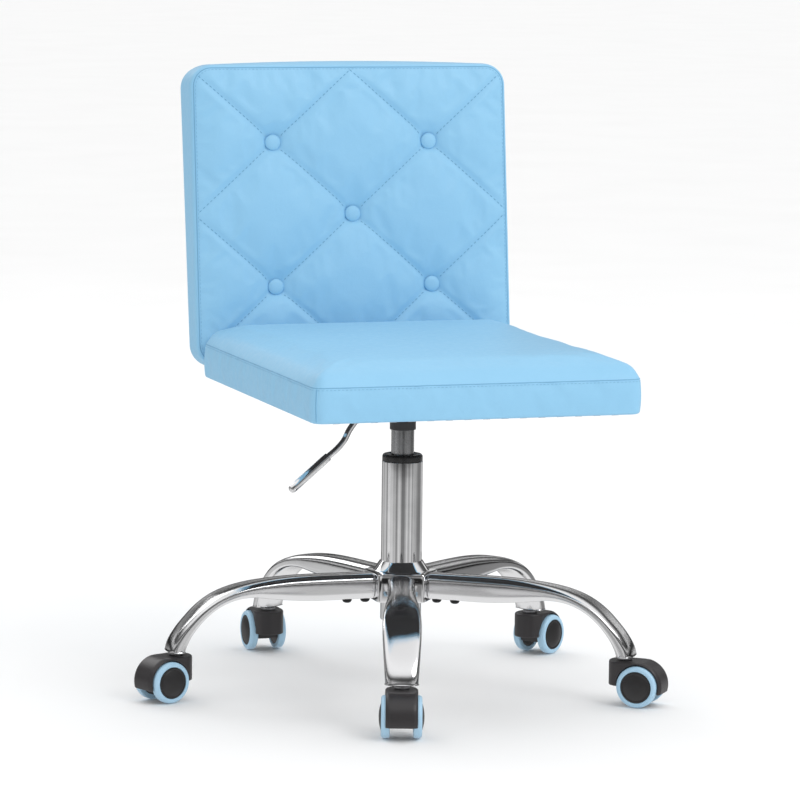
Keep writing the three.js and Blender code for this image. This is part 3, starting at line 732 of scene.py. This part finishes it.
def wheel_shape():
    """The wheel's body: a rim flange, a step and a shallow dome outside, and a recess inside."""
    recess = [(0, 22), (CASTER["axle_hole"], 22)]
    return along_axle(recess + rounded(WHEEL_PROFILE, 0.5))


def tyre_shape():
    return along_axle(rounded(TYRE_PROFILE, 0.8, 5, True), 1, True)


def add_casters():
    housing = housing_mesh()
    wheel = mesh_of("wheel", *wheel_shape(), 30)
    tyre = mesh_of("tyre", *tyre_shape(), 45)
    pin = rounded(pin_profile(CASTER["axle_radius"], CASTER["axle_half"]), 0.5)
    axle = mesh_of("axle", *along_axle(pin, sides=40))
    stem = mesh_of("stem", *turned(rounded(STEM_PROFILE, 0.4), 48))
    for k in range(LEGS):
        name = f"caster_{k + 1}"
        spot = about_z(leg_angle(k)) @ Matrix.Translation((CASTER_REACH, 0, 0))
        place = spot @ about_z(CASTER_TURNS[k])
        show(f"{name}_hood", housing, PLASTIC, name, [f"{name}_housing"], place)
        show(f"{name}_stem_turned", stem, ZINC, "base", [f"{name}_stem"], place)
        show(f"{name}_axle_pin", axle, ZINC, name, [f"{name}_axle"], place)
        for letter, half_turn in (("a", Matrix.Identity(4)), ("b", opposite_side())):
            body = f"wheel_{k + 1}{letter}"
            side = place @ half_turn
            show(f"{name}_cap_{letter}", wheel, CAP_PLASTIC, body,
                 [f"{name}_wheel_{letter}"], side)
            show(f"{name}_band_{letter}", tyre, TYRE, body, [f"{name}_tyre_{letter}"], side)


def opposite_side():
    """Half a turn about the upright through the axle, which puts a wheel on the caster's other side."""
    centre = Matrix.Translation((CASTER["trail"], 0, 0))
    return centre @ about_z(180) @ centre.inverted()


# ---------------------------------------------------------------- upholstery


def corner_mapped(x, v, half_x, half_v, round_):
    """Moves a square grid's point so that the outline has round corners. Gives it with its outward normal."""
    dx, dv = abs(x) - (half_x - round_), abs(v) - (half_v - round_)
    if dx > 0 and dv > 0:
        p, q = dx / round_, dv / round_
        px, pv = p * math.sqrt(1 - q * q / 2), q * math.sqrt(1 - p * p / 2)
        size = math.hypot(px, pv) or 1
        normal = (math.copysign(px / size, x), math.copysign(pv / size, v))
        x = math.copysign(half_x - round_ + round_ * px, x)
        v = math.copysign(half_v - round_ + round_ * pv, v)
        return x, v, normal
    if half_x - abs(x) < half_v - abs(v):
        return x, v, (math.copysign(1, x), 0)
    return x, v, (0, math.copysign(1, v))


def pad_shell(half_x, half_v, columns, rows, round_, height, rim):
    """A padded panel: a grid over its face, then rings down its side and under it.

    height(x, v) is how far the face stands out. rim is a list of (outset, drop), where drop(v) gives the
    ring's height. The face's points come first, row by row. The rings come back as lists of point numbers,
    and the first one is the face's own edge.
    """
    def spot(i, j):
        x, v = half_x * (2 * i / columns - 1), half_v * (2 * j / rows - 1)
        return corner_mapped(x, v, half_x, half_v, round_)

    points, rows_of = [], []
    for j in range(rows + 1):
        row = []
        for i in range(columns + 1):
            x, v, _ = spot(i, j)
            row.append(len(points))
            points.append((x, v, height(x, v)))
        rows_of.append(row)
    faces = []
    for j in range(rows):
        for i in range(columns):
            a, b = rows_of[j][i], rows_of[j][i + 1]
            c, d = rows_of[j + 1][i + 1], rows_of[j + 1][i]
            faces.append((a, b, c, d))
    loop = [(i, 0) for i in range(columns)] + [(columns, j) for j in range(rows)]
    loop += [(i, rows) for i in range(columns, 0, -1)] + [(0, j) for j in range(rows, 0, -1)]
    previous = [rows_of[j][i] for i, j in loop]
    rings = [previous]
    for outset, drop in rim:
        ring = []
        for i, j in loop:
            x, v, (out_x, out_v) = spot(i, j)
            ring.append(len(points))
            points.append((x + out_x * outset, v + out_v * outset, drop(v)))
        for s in range(len(loop)):
            t = (s + 1) % len(loop)
            faces.append((previous[s], ring[s], ring[t], previous[t]))
        previous = ring
        rings.append(ring)
    return points, faces, rings


def inflated(piece, hold, pressure, slack, cap, frames=20):
    """Cloth simulation: the cover swells from inside, held by the weights in `hold`, and keeps that shape.

    slack is how much larger the cloth is than its shell, and no point moves by more than cap millimetres.
    """
    rest = np.empty(len(piece.data.vertices) * 3)
    piece.data.vertices.foreach_get("co", rest)
    group = piece.vertex_groups.new(name="hold")
    for index, weight in enumerate(hold):
        if weight > 0:
            group.add([index], float(weight), "REPLACE")
    cloth = piece.modifiers.new("cloth", "CLOTH")
    settings = cloth.settings
    settings.quality = 6
    settings.mass = 0.25
    settings.tension_stiffness = 30
    settings.compression_stiffness = 30
    settings.shear_stiffness = 12
    settings.bending_stiffness = 1.2
    settings.vertex_group_mass = "hold"
    settings.use_pressure = True
    settings.uniform_pressure_force = pressure
    settings.shrink_min = -slack
    settings.effector_weights.gravity = 0
    cloth.point_cache.frame_start = 1
    cloth.point_cache.frame_end = frames
    for number in range(1, frames + 1):
        scene.frame_set(number)
    swollen = baked(piece)
    filled = np.empty_like(rest)
    swollen.vertices.foreach_get("co", filled)
    shift = (filled - rest).reshape(-1, 3)
    length = np.linalg.norm(shift, axis=1, keepdims=True)
    shift *= np.minimum(1, cap * MM / np.maximum(length, 1e-9))
    piece.modifiers.clear()
    piece.vertex_groups.clear()
    piece.data.vertices.foreach_set("co", (rest.reshape(-1, 3) + shift).ravel())
    piece.data.update()
    bpy.data.meshes.remove(swollen)
    scene.frame_set(1)


def subdivided(piece):
    """One round of subdivision, after which the open underside is closed with a flat face."""
    step = piece.modifiers.new("subdivide", "SUBSURF")
    step.levels = 1
    step.render_levels = 1
    mesh = baked(piece)
    piece.modifiers.clear()
    piece.data = mesh
    bm = bmesh.new()
    bm.from_mesh(mesh)
    bmesh.ops.holes_fill(bm, edges=[e for e in bm.edges if e.is_boundary])
    bmesh.ops.recalc_face_normals(bm, faces=bm.faces)
    bm.to_mesh(mesh)
    bm.free()
    mesh.shade_smooth()


def surface_of(piece):
    """Finds the nearest point of a piece's skin, in metres, with its normal."""
    mesh = piece.data
    places = [piece.matrix_world @ v.co for v in mesh.vertices]
    tree = BVHTree.FromPolygons(places, [p.vertices for p in mesh.polygons])
    return lambda point: tree.find_nearest(point)[:2]


def stitches(lines, skin, length=4.1, pitch=6.2, radius=0.42, lift=0.12):
    """Short rounded thread beads along lines of points in metres, each lying on the skin."""
    shapes = []
    section = [(0, 0), (0.62, 0.10), (0.95, 0.32), (1, 0.5), (0.95, 0.68), (0.62, 0.90), (0, 1)]
    for line in lines:
        walked = np.concatenate([[0], np.cumsum([(b - a).length for a, b in zip(line, line[1:])])]) / MM
        along = np.arange(pitch / 2, walked[-1] - pitch / 2, pitch)
        for middle in along:
            ends = []
            for offset in (-length / 2, length / 2):
                columns = [np.interp(middle + offset, walked, [p[k] for p in line]) for k in range(3)]
                spot, normal = skin(Vector(columns))
                ends.append(spot + normal * lift * MM)
            direction = ends[1] - ends[0]
            bead = turned([(radius * r * MM, direction.length * t) for r, t in section], 8)
            shapes.append(moved(bead, Matrix.Translation(ends[0]) @ facing(direction)))
    vertices, faces = together(shapes)
    return [ROW.inverted() @ v for v in vertices], faces


def add_trim(name, shape, material=SEAM_PAINTED_SHADE):
    """A seam, fold or row of stitches of the seat or back. By default it takes the darker seam leather, which
    is painted shade of the seam's crease.
    """
    show(name, shape, material, "seat_assembly")


def seat_point(x, v, w):
    return Vector((x, v + SEAT["y"], w))


RECLINE = Matrix.Rotation(-math.radians(BACK["recline"]), 4, "X")
BACK_PLACE = Matrix.Translation((0, BACK["y"], BACK["z"])) @ RECLINE


def back_point(x, v, w):
    """From the back's own plane: x across, v up it and w out of its face. The boxing swells upward on top."""
    depth = min(1, max(0, -w / BACK["top"]))
    middle = max(0, 1 - (x / BACK["half_x"]) ** 2)
    swell = BACK["swell"] * math.sin(math.pi * depth) * middle * max(0, v / BACK["half_z"]) ** 8
    return BACK_PLACE @ Vector((x, -w, v + swell))


def cushion(name, shell, point_at, hold, stands_for, pressure, slack, cap):
    """A sewn cover over its padding, swollen between its seams."""
    points, faces = shell
    vertices = [point_at(*p) for p in points]
    piece = show(name, (vertices, faces), LEATHER, "seat_assembly", stands_for,
                 sharp_angle=180)
    inflated(piece, hold, pressure, slack, cap)
    subdivided(piece)
    return piece


def rim_distance(x, v, half_x, half_v, round_):
    """How far a point lies inside a rounded rectangle's outline."""
    dx, dv = abs(x) - (half_x - round_), abs(v) - (half_v - round_)
    if dx > 0 and dv > 0:
        return round_ - math.hypot(dx, dv)
    return min(half_x - abs(x), half_v - abs(v))


def add_seat():
    s = SEAT
    seam, bottom = s["seam"], s["bottom"]
    half_x, half_y = s["half_x"] - s["inset"], s["half_y"] - s["inset"]
    columns, rows = 72, 84
    ripple = np.random.default_rng(7).normal(0, 1, (12, 3))

    def height(x, v):
        inside = max(0, rim_distance(x, v, half_x, half_y, s["round"]))
        near = math.exp(-inside / 16) * (1 - math.exp(-inside / 3))
        wave = sum(a * math.sin(x / (9 + 2.1 * i) + b * 3) * math.sin(v / (11 + 1.7 * i) + c * 3)
                   for i, (a, b, c) in enumerate(ripple))
        roll = s["roll"] * (1 - math.exp(-inside / s["roll_reach"]))
        crown = s["crown"] * (1 - math.exp(-inside / s["crown_reach"]))
        return seam + roll + crown + 0.22 * near * wave

    def level(z):
        return lambda v: z

    rim = [(0.5, level(seam - 1.2)), (0.7, level(seam - 3.4)), (1.3, level(seam - 7))]
    rim += [(1.2 + 0.9 * math.sin(math.pi * t), level(seam - 7 - (seam - 7 - bottom - 4) * t))
            for t in np.linspace(0.14, 1, 7)]
    rim += [(0.6, level(bottom + 1.2)), (-1.6, level(bottom)), (-6, level(bottom - 0.3)),
            (-22, level(bottom - 0.3)), (-22.4, level(bottom + 0.6))]
    points, faces, rings = pad_shell(half_x, half_y, columns, rows, s["round"], height, rim)
    hold = np.zeros(len(points))
    hold[rings[0]] = 0.9
    for ring in rings[-5:]:
        hold[ring] = 1
    piece = cushion("seat_upholstery", (points, faces), seat_point, hold, ["seat_cushion"], 1.2, 0.004, 2.2)
    skin = surface_of(piece)
    line = [ROW @ seat_point(*points[i]) for i in rings[0] + [rings[0][0]]]
    lower = [p - UP * 2.6 * MM for p in line]
    # The seam's cord and the stitches just under it are darkened as painted shade of the seam's crease.
    add_trim("seat_seam_welt_painted_shade", seam_cord(line, skin, 0.55))
    add_trim("seat_seam_stitches", stitches([lower], skin, **EDGE_STITCH))
    # The corner seams' cords are darkened as painted shade of their creases.
    seams = []
    for side_x, side_y in ((-1, -1), (1, 1), (-1, 1)):
        x, y = (side * (half + 1 - s["round"] * 0.29) for side, half in ((side_x, half_x), (side_y, half_y)))
        corner = [ROW @ seat_point(x, y, z) for z in np.linspace(seam - 1, bottom + 2, 12)]
        seams.append(seam_cord(corner, skin, 0.5, False))
    add_trim("seat_corner_seams_painted_shade", together(seams))


def seam_cord(line, skin, radius, closed=True):
    """A thin rolled fold of the cover along a seam, sunk to its middle in the skin."""
    path = [skin(p)[0] for p in line]
    if closed:
        path = path[:-1]
    rings = []
    count = len(path)
    for i, point in enumerate(path):
        before = path[i - 1] if closed or i else path[0]
        after = path[(i + 1) % count] if closed or i + 1 < count else path[-1]
        ahead = (after - before).normalized()
        out = skin(point)[1]
        across = ahead.cross(out).normalized()
        out = across.cross(ahead)
        rings.append([point + (across * a + out * b) * MM for a, b in circle(radius, 10)])
    vertices, faces = joined_rings(rings, closed)
    return [ROW.inverted() @ v for v in vertices], faces


def add_seat_underside():
    """The lined seat board, with the cover stapled round it."""
    bottom = SEAT["bottom"]
    half_x, half_y = SEAT["half_x"] - SEAT["board_inset"], SEAT["half_y"] - SEAT["board_inset"]
    rim = [(0, lambda v: bottom + 9), (0, lambda v: bottom + 0.2), (-1, lambda v: bottom)]
    points, faces, rings = pad_shell(half_x, half_y, 40, 46, 10, lambda x, v: bottom + 10, rim)
    faces.append(tuple(reversed(rings[-1])))
    show("seat_board_lined", ([seat_point(*p) for p in points], faces), LINING, "seat_assembly",
         ["seat_board"])

    def spread(half, count):
        return [-half + 2 * half * (i + 0.5) / count for i in range(count)]

    edge_x, edge_y = half_x + STAPLES["past_board"], half_y + STAPLES["past_board"]
    places = [(x, v, 90) for v in spread(half_y, STAPLES["along_sides"]) for x in (-edge_x, edge_x)]
    places += [(x, v, 0) for x in spread(half_x, STAPLES["along_ends"]) for v in (-edge_y, edge_y)]
    half_crown = [(4.5, 0.4), (4.5, -0.2), (4.1, -0.7)]
    crown = [Vector((-x, 0, z)) for x, z in half_crown] + [Vector((x, 0, z)) for x, z in reversed(half_crown)]
    wire = swept(crown, REAR, lambda i: circle(0.35, 8))
    staples = [moved(wire, Matrix.Translation(seat_point(x, v, bottom - 0.4)) @ about_z(turn))
               for x, v, turn in places]
    show("seat_staples", together(staples), ZINC, "seat_assembly")


def tuft_lines():
    """The stitched diagonals: straight lines through the buttons, ending inside the front seam."""
    lines = []
    limit_x, limit_v = BACK["half_x"] - 6, BACK["half_z"] - 6
    for slope in (1, -1):
        for shift in (-2, 0, 2):
            spots = []
            for t in np.linspace(-3, 3, 1201):
                x, v = TUFT_X * t, slope * TUFT_Z * (t + shift)
                if rim_distance(x, v, limit_x, limit_v, 14) > 0:
                    spots.append((x, v))
            lines.append(spots)
    return lines


def line_distance(x, v):
    """Distance to the nearest stitched diagonal."""
    best = 1e9
    for slope in (1, -1):
        for shift in (-2, 0, 2):
            off = v - slope * TUFT_Z * (x / TUFT_X + shift)
            best = min(best, abs(off) / math.hypot(1, TUFT_Z / TUFT_X))
    return best


def button_distance(x, v):
    return min(math.hypot(x - TUFT_X * sx, v - TUFT_Z * sv) for sx, sv in TUFTS)


def back_thickness(v):
    middle = (BACK["top"] + BACK["bottom"]) / 2
    return middle + (BACK["top"] - BACK["bottom"]) * v / (2 * BACK["half_z"])


def add_back():
    inset = BACK["inset"]
    half_x, half_v, round_ = BACK["half_x"] - inset, BACK["half_z"] - inset, BACK["round"] - inset

    def height(x, v):
        inside = max(0, rim_distance(x, v, half_x, half_v, round_))
        face = 4.2 + 5.2 * (1 - math.exp(-inside / 12))
        groove = 3.4 * math.exp(-(line_distance(x, v) / 4.2) ** 1.3) * (1 - math.exp(-inside / 12))
        well = 5.3 * math.exp(-(max(0, button_distance(x, v) - 8) / 17) ** 1.2)
        gap = 1.8 * math.exp(-(button_distance(x, v) / 11.5) ** 8)
        sag = 1.9 * math.exp(-((button_distance(x, v - 15) / 13) ** 2))
        return face - groove - well - gap - sag

    def side(share):
        return lambda v: -share * back_thickness(v)

    rim = [(0.6, lambda v: 3.6), (2.0, lambda v: 3.3), (3.2, lambda v: 1.6), (3.8, lambda v: -1.0)]
    rim += [(3.8 + 0.5 * math.sin(math.pi * t), side(t)) for t in np.linspace(0.12, 0.9, 7)]
    rim += [(3.5, side(0.97)), (2, side(1)), (-2, side(1)), (-9, side(1)), (-9.6, side(0.97))]
    columns, rows = 92, 96
    points, faces, rings = pad_shell(half_x, half_v, columns, rows, round_, height, rim)
    hold = np.zeros(len(points))
    for index, (x, v, _) in enumerate(points[: (columns + 1) * (rows + 1)]):
        if line_distance(x, v) < 2.2:
            hold[index] = 0.85
        if button_distance(x, v) < 9.5:
            hold[index] = 1
    for ring in rings[:5] + rings[-6:]:
        hold[ring] = 1
    for ring in rings[5:-6]:
        hold[ring] = 0.97
    piece = cushion("back_upholstery", (points, faces), back_point, hold, ["back_cushion"], 3.2, 0.012, 5)
    skin = surface_of(piece)
    around = [points[i] for i in rings[0] + [rings[0][0]]]
    edge = [ROW @ back_point(*p) for p in around]
    inner = [ROW @ back_point(x * (1 - 1.8 / half_x), v * (1 - 1.8 / half_v), 6) for x, v, _ in around]
    # The back's seam cord and edge stitches are darkened as painted shade of the seam's crease.
    add_trim("back_seam_welt_painted_shade", seam_cord(edge, skin, 0.55))
    add_trim("back_edge_stitches", stitches([inner], skin, **EDGE_STITCH))
    diagonals = []
    for line in tuft_lines():
        run = []
        for x, v in line:
            if button_distance(x, v) > 11:
                run.append(ROW @ back_point(x, v, 6))
            elif len(run) > 8:
                diagonals.append(run)
                run = []
        diagonals.append(run)
    # The diagonal stitches are in the thread colour, which is partly painted shade of their gaps.
    add_trim("back_tuft_stitches", stitches([d for d in diagonals if len(d) > 8], skin), THREAD_AND_PAINTED_SHADE)
    for number, (sx, sv) in enumerate(TUFTS, 1):
        add_button(number, TUFT_X * sx, TUFT_Z * sv)


def add_button(number, x, v):
    """A covered button: a dome over a rolled edge, pulled into the pad."""
    profile = [(0, -5), (8, -5), (9.2, -2.4, 1), (10.2, -0.2, 1.3), (9.6, 1.7, 1.8), (6, 3.3, 3), (0, 3.9)]
    tilt = Matrix.Rotation(math.radians(90 - BACK["recline"]), 4, "X")
    place = Matrix.Translation(back_point(x, v, 2.6)) @ tilt
    node = f"tuft_button_{number}"
    show(f"{node}_covered", turned(rounded(profile, 1.0, 5), 72), BUTTON_LEATHER, "seat_assembly",
         [node], place)


def add_back_rear():
    """The rear cover: a padded panel sewn in a little way from the edge."""
    inset, round_ = BACK["rear_inset"], BACK["rear_round"]
    half_x, half_v = BACK["half_x"] - inset, BACK["half_z"] - inset

    def height(x, v):
        inside = max(0, rim_distance(x, v, half_x, half_v, round_))
        return -back_thickness(v) - 0.9 - 1.1 * (1 - math.exp(-inside / 14))

    rim = [(0.6, lambda v: -back_thickness(v) - 0.4), (0.4, lambda v: -back_thickness(v) + 1.5)]
    points, faces, rings = pad_shell(half_x, half_v, 56, 52, round_, height, rim)
    piece = show("back_rear_cover", ([back_point(*p) for p in points], faces), LEATHER, "seat_assembly",
                 ["back_board"], sharp_angle=60)
    subdivided(piece)
    line = []
    for x, v, _ in [points[i] for i in rings[0] + [rings[0][0]]]:
        line.append(ROW @ back_point(x * (1 - 5 / half_x), v * (1 - 5 / half_v), -back_thickness(v) - 1.5))
    # The rear stitches are in the same thread colour, which is partly painted shade.
    add_trim("back_rear_stitches", stitches([line], surface_of(piece), **REAR_STITCH), THREAD_AND_PAINTED_SHADE)


def add_bracket():
    """The bent flat bar from under the seat to the back, with a pressed rib and rounded ends."""
    line = smooth_path(BRACKET_ROUTE, 150)
    path = [Vector((0, y, z)) for y, z in line]
    last = len(path) - 1
    walked = np.concatenate([[0], np.cumsum([(b - a).length for a, b in zip(path, path[1:])])])
    b = BRACKET
    half, thick, corner, depth = b["half_width"], b["half_thickness"], b["end_round"], b["rib_depth"]

    def section(i):
        from_end = min(walked[i], walked[last] - walked[i])
        width = half - corner + math.sqrt(max(0, corner**2 - max(0, corner - from_end) ** 2))
        past_start = max(0, (walked[i] - b["rib_start"]) / b["rib_ramp"])
        before_end = max(0, (walked[last] - b["rib_end"] - walked[i]) / b["rib_ramp"])
        rib = depth * min(1, past_start, before_end)
        rib = rib * rib * (3 * depth - 2 * rib) / depth**2
        outline = rounded([(-width, -thick), (width, -thick), (width, thick), (-width, thick)], 1.1, 4, True)
        dense = []
        for (ax, ay), (bx, by) in zip(outline, outline[1:] + outline[:1]):
            pieces = max(1, int(round(abs(bx - ax) / width * 24))) if abs(bx - ax) > width / 2 else 1
            dense += [(ax + (bx - ax) * n / pieces, ay + (by - ay) * n / pieces) for n in range(pieces)]
        return [(x, y - rib * math.exp(-(x / b["rib_half"]) ** 4)) for x, y in dense]

    show("back_bracket_painted", swept(path, -RIGHT, section), MECHANISM, "seat_assembly",
         ["back_bracket"], sharp_angle=50)
    heads = []
    f = FOOT_BOLTS
    for y in f["at"]:
        for x in (-f["x"], f["x"]):
            place = Matrix.Translation((x, y, f["z"])) @ facing((0, 0, -1))
            heads.append(moved(bolt_head(f["radius"], f["height"]), place))
    ahead = (path[-1] - path[-12]).normalized()
    rear = Vector((0, ahead.z, -ahead.y))
    p = TOP_BOLTS
    bolt = bolt_on_washer(p["radius"], p["height"], p["washer"], p["thickness"])
    for from_end in p["at"]:
        for x in (-p["x"], p["x"]):
            spot = path[-1] - ahead * from_end + rear * thick + RIGHT * x
            heads.append(moved(bolt, Matrix.Translation(spot) @ facing(rear)))
    show("bracket_bolts", together(heads), BOLT_BLACK, "seat_assembly")


add_base()
add_column()
add_mechanism()
add_lever()
add_casters()
add_seat()
add_seat_underside()
add_back()
add_back_rear()
add_bracket()

# ---------------------------------------------------------------- floor and light


def add_stage():
    floor = bpy.data.objects.new("floor", mesh_of("floor", *block((-40, -40, -0.05), (40, 40, -0.0005))))
    g = Graph("studio_floor")
    pale = g.blend(g.ramp(g.noise(3, 2), 0, 1, 0.3, 0.7), (0.93, 0.93, 0.93), (0.95, 0.95, 0.95))
    floor.data.materials.append(g.finish(pale, g.ramp(g.noise(50), 0.6, 0.7), Specular_IOR_Level=0.2))
    floor.visible_glossy = False
    scene.collection.objects.link(floor)


def add_area(name, spot, aim, size, power, spread=180):
    light = bpy.data.lights.new(name, "AREA")
    light.shape = "RECTANGLE"
    light.size, light.size_y = size
    light.energy = power
    light.spread = math.radians(spread)
    lamp = bpy.data.objects.new(name, light)
    lamp.location = spot
    lamp.rotation_mode = "QUATERNION"
    lamp.rotation_quaternion = (Vector(aim) - Vector(spot)).to_track_quat("-Z", "Y")
    lamp.visible_camera = False
    scene.collection.objects.link(lamp)


# The studio's light on matt things and what the plating mirrors: (sine of the elevation, brightness).
SOFT_SKY = ((-1, 0.7), (0, 0.76), (0.35, 0.9), (1, 1.0))
MIRRORED_SKY = (
    (-1, 0.85), (-0.45, 0.82), (-0.22, 0.80), (-0.04, 0.66), (0.01, 0.06), (0.16, 0.05), (0.19, 0.85),
    (0.27, 0.95), (0.31, 0.10), (0.52, 0.16), (0.62, 0.80), (0.80, 1.0), (1, 0.85),
)


def sky_ramp(tree, height, name, stops):
    """Grey by height: each stop is (sine of the elevation, brightness)."""
    ramp = tree.nodes.new("ShaderNodeValToRGB")
    ramp.name = name
    scaled = [((sine + 1) / 2, grey) for sine, grey in stops]
    ramp.color_ramp.elements[0].position = scaled[0][0]
    ramp.color_ramp.elements[1].position = scaled[-1][0]
    for position, _ in scaled[1:-1]:
        ramp.color_ramp.elements.new(position)
    for element, (_, grey) in zip(ramp.color_ramp.elements, scaled):
        element.color = (grey, grey, grey, 1)
    tree.links.new(height, ramp.inputs["Fac"])
    made = tree.nodes.new("ShaderNodeBackground")
    tree.links.new(ramp.outputs["Color"], made.inputs["Color"])
    return made.outputs[0]


def with_uprights(tree, direction, height, background):
    """Dark uprights all round the studio, which streak the column. They fade out away from the horizon."""
    level = new_node(tree, "ShaderNodeVectorMath", {0: direction, 1: (1, 1, 0)}, "MULTIPLY")
    bearing = new_node(tree, "ShaderNodeVectorMath", {0: level.outputs[0]}, "NORMALIZE")
    noise = new_node(tree, "ShaderNodeTexNoise", {"Vector": bearing.outputs[0], "Scale": 2.3, "Detail": 1.5})
    streak = new_node(tree, "ShaderNodeMapRange", {
        "Value": noise.outputs["Fac"], "From Min": 0.40, "From Max": 0.60, "To Min": 0.30,
    })
    far = new_node(tree, "ShaderNodeMath", {0: height}, "ABSOLUTE")
    fade = new_node(tree, "ShaderNodeMapRange", {"Value": far.outputs[0], "From Min": 0.25, "From Max": 0.60})
    brighter = {0: streak.outputs["Result"], 1: fade.outputs["Result"]}
    strength = new_node(tree, "ShaderNodeMath", brighter, "MAXIMUM")
    feed(tree, background.node, "Strength", strength.outputs[0])


def add_world():
    """A white studio: even light on matt things, and black flags low down that the plating mirrors."""
    world = bpy.data.worlds.new("studio")
    scene.world = world
    world.use_nodes = True
    tree = world.node_tree
    tree.nodes.clear()
    direction = tree.nodes.new("ShaderNodeTexCoord").outputs["Generated"]
    split = new_node(tree, "ShaderNodeSeparateXYZ", {0: direction})
    upward = new_node(tree, "ShaderNodeMapRange", {"Value": split.outputs["Z"], "From Min": -1})
    height = upward.outputs["Result"]
    lit = sky_ramp(tree, height, "soft_light", SOFT_SKY)
    sideways = new_node(tree, "ShaderNodeMapRange", {
        "Value": split.outputs["X"], "From Min": -1, "To Min": 0.86, "To Max": 1.42,
    })
    feed(tree, lit.node, "Strength", sideways.outputs["Result"])
    mirrored = sky_ramp(tree, height, "flags", MIRRORED_SKY)
    with_uprights(tree, direction, split.outputs["Z"], mirrored)
    glossy = tree.nodes.new("ShaderNodeLightPath").outputs["Is Glossy Ray"]
    mix = new_node(tree, "ShaderNodeMixShader", {0: glossy, 1: lit, 2: mirrored})
    new_node(tree, "ShaderNodeOutputWorld", {"Surface": mix.outputs[0]})


add_stage()
add_world()
add_area("key", (1.6, -2.8, 2.8), (0, 0, 0.45), (2.0, 1.4), 29)
add_area("rear", (-1.2, 3.2, 2.4), (0, 0, 0.45), (2.0, 1.6), 18)
scene.view_settings.view_transform = "Standard"
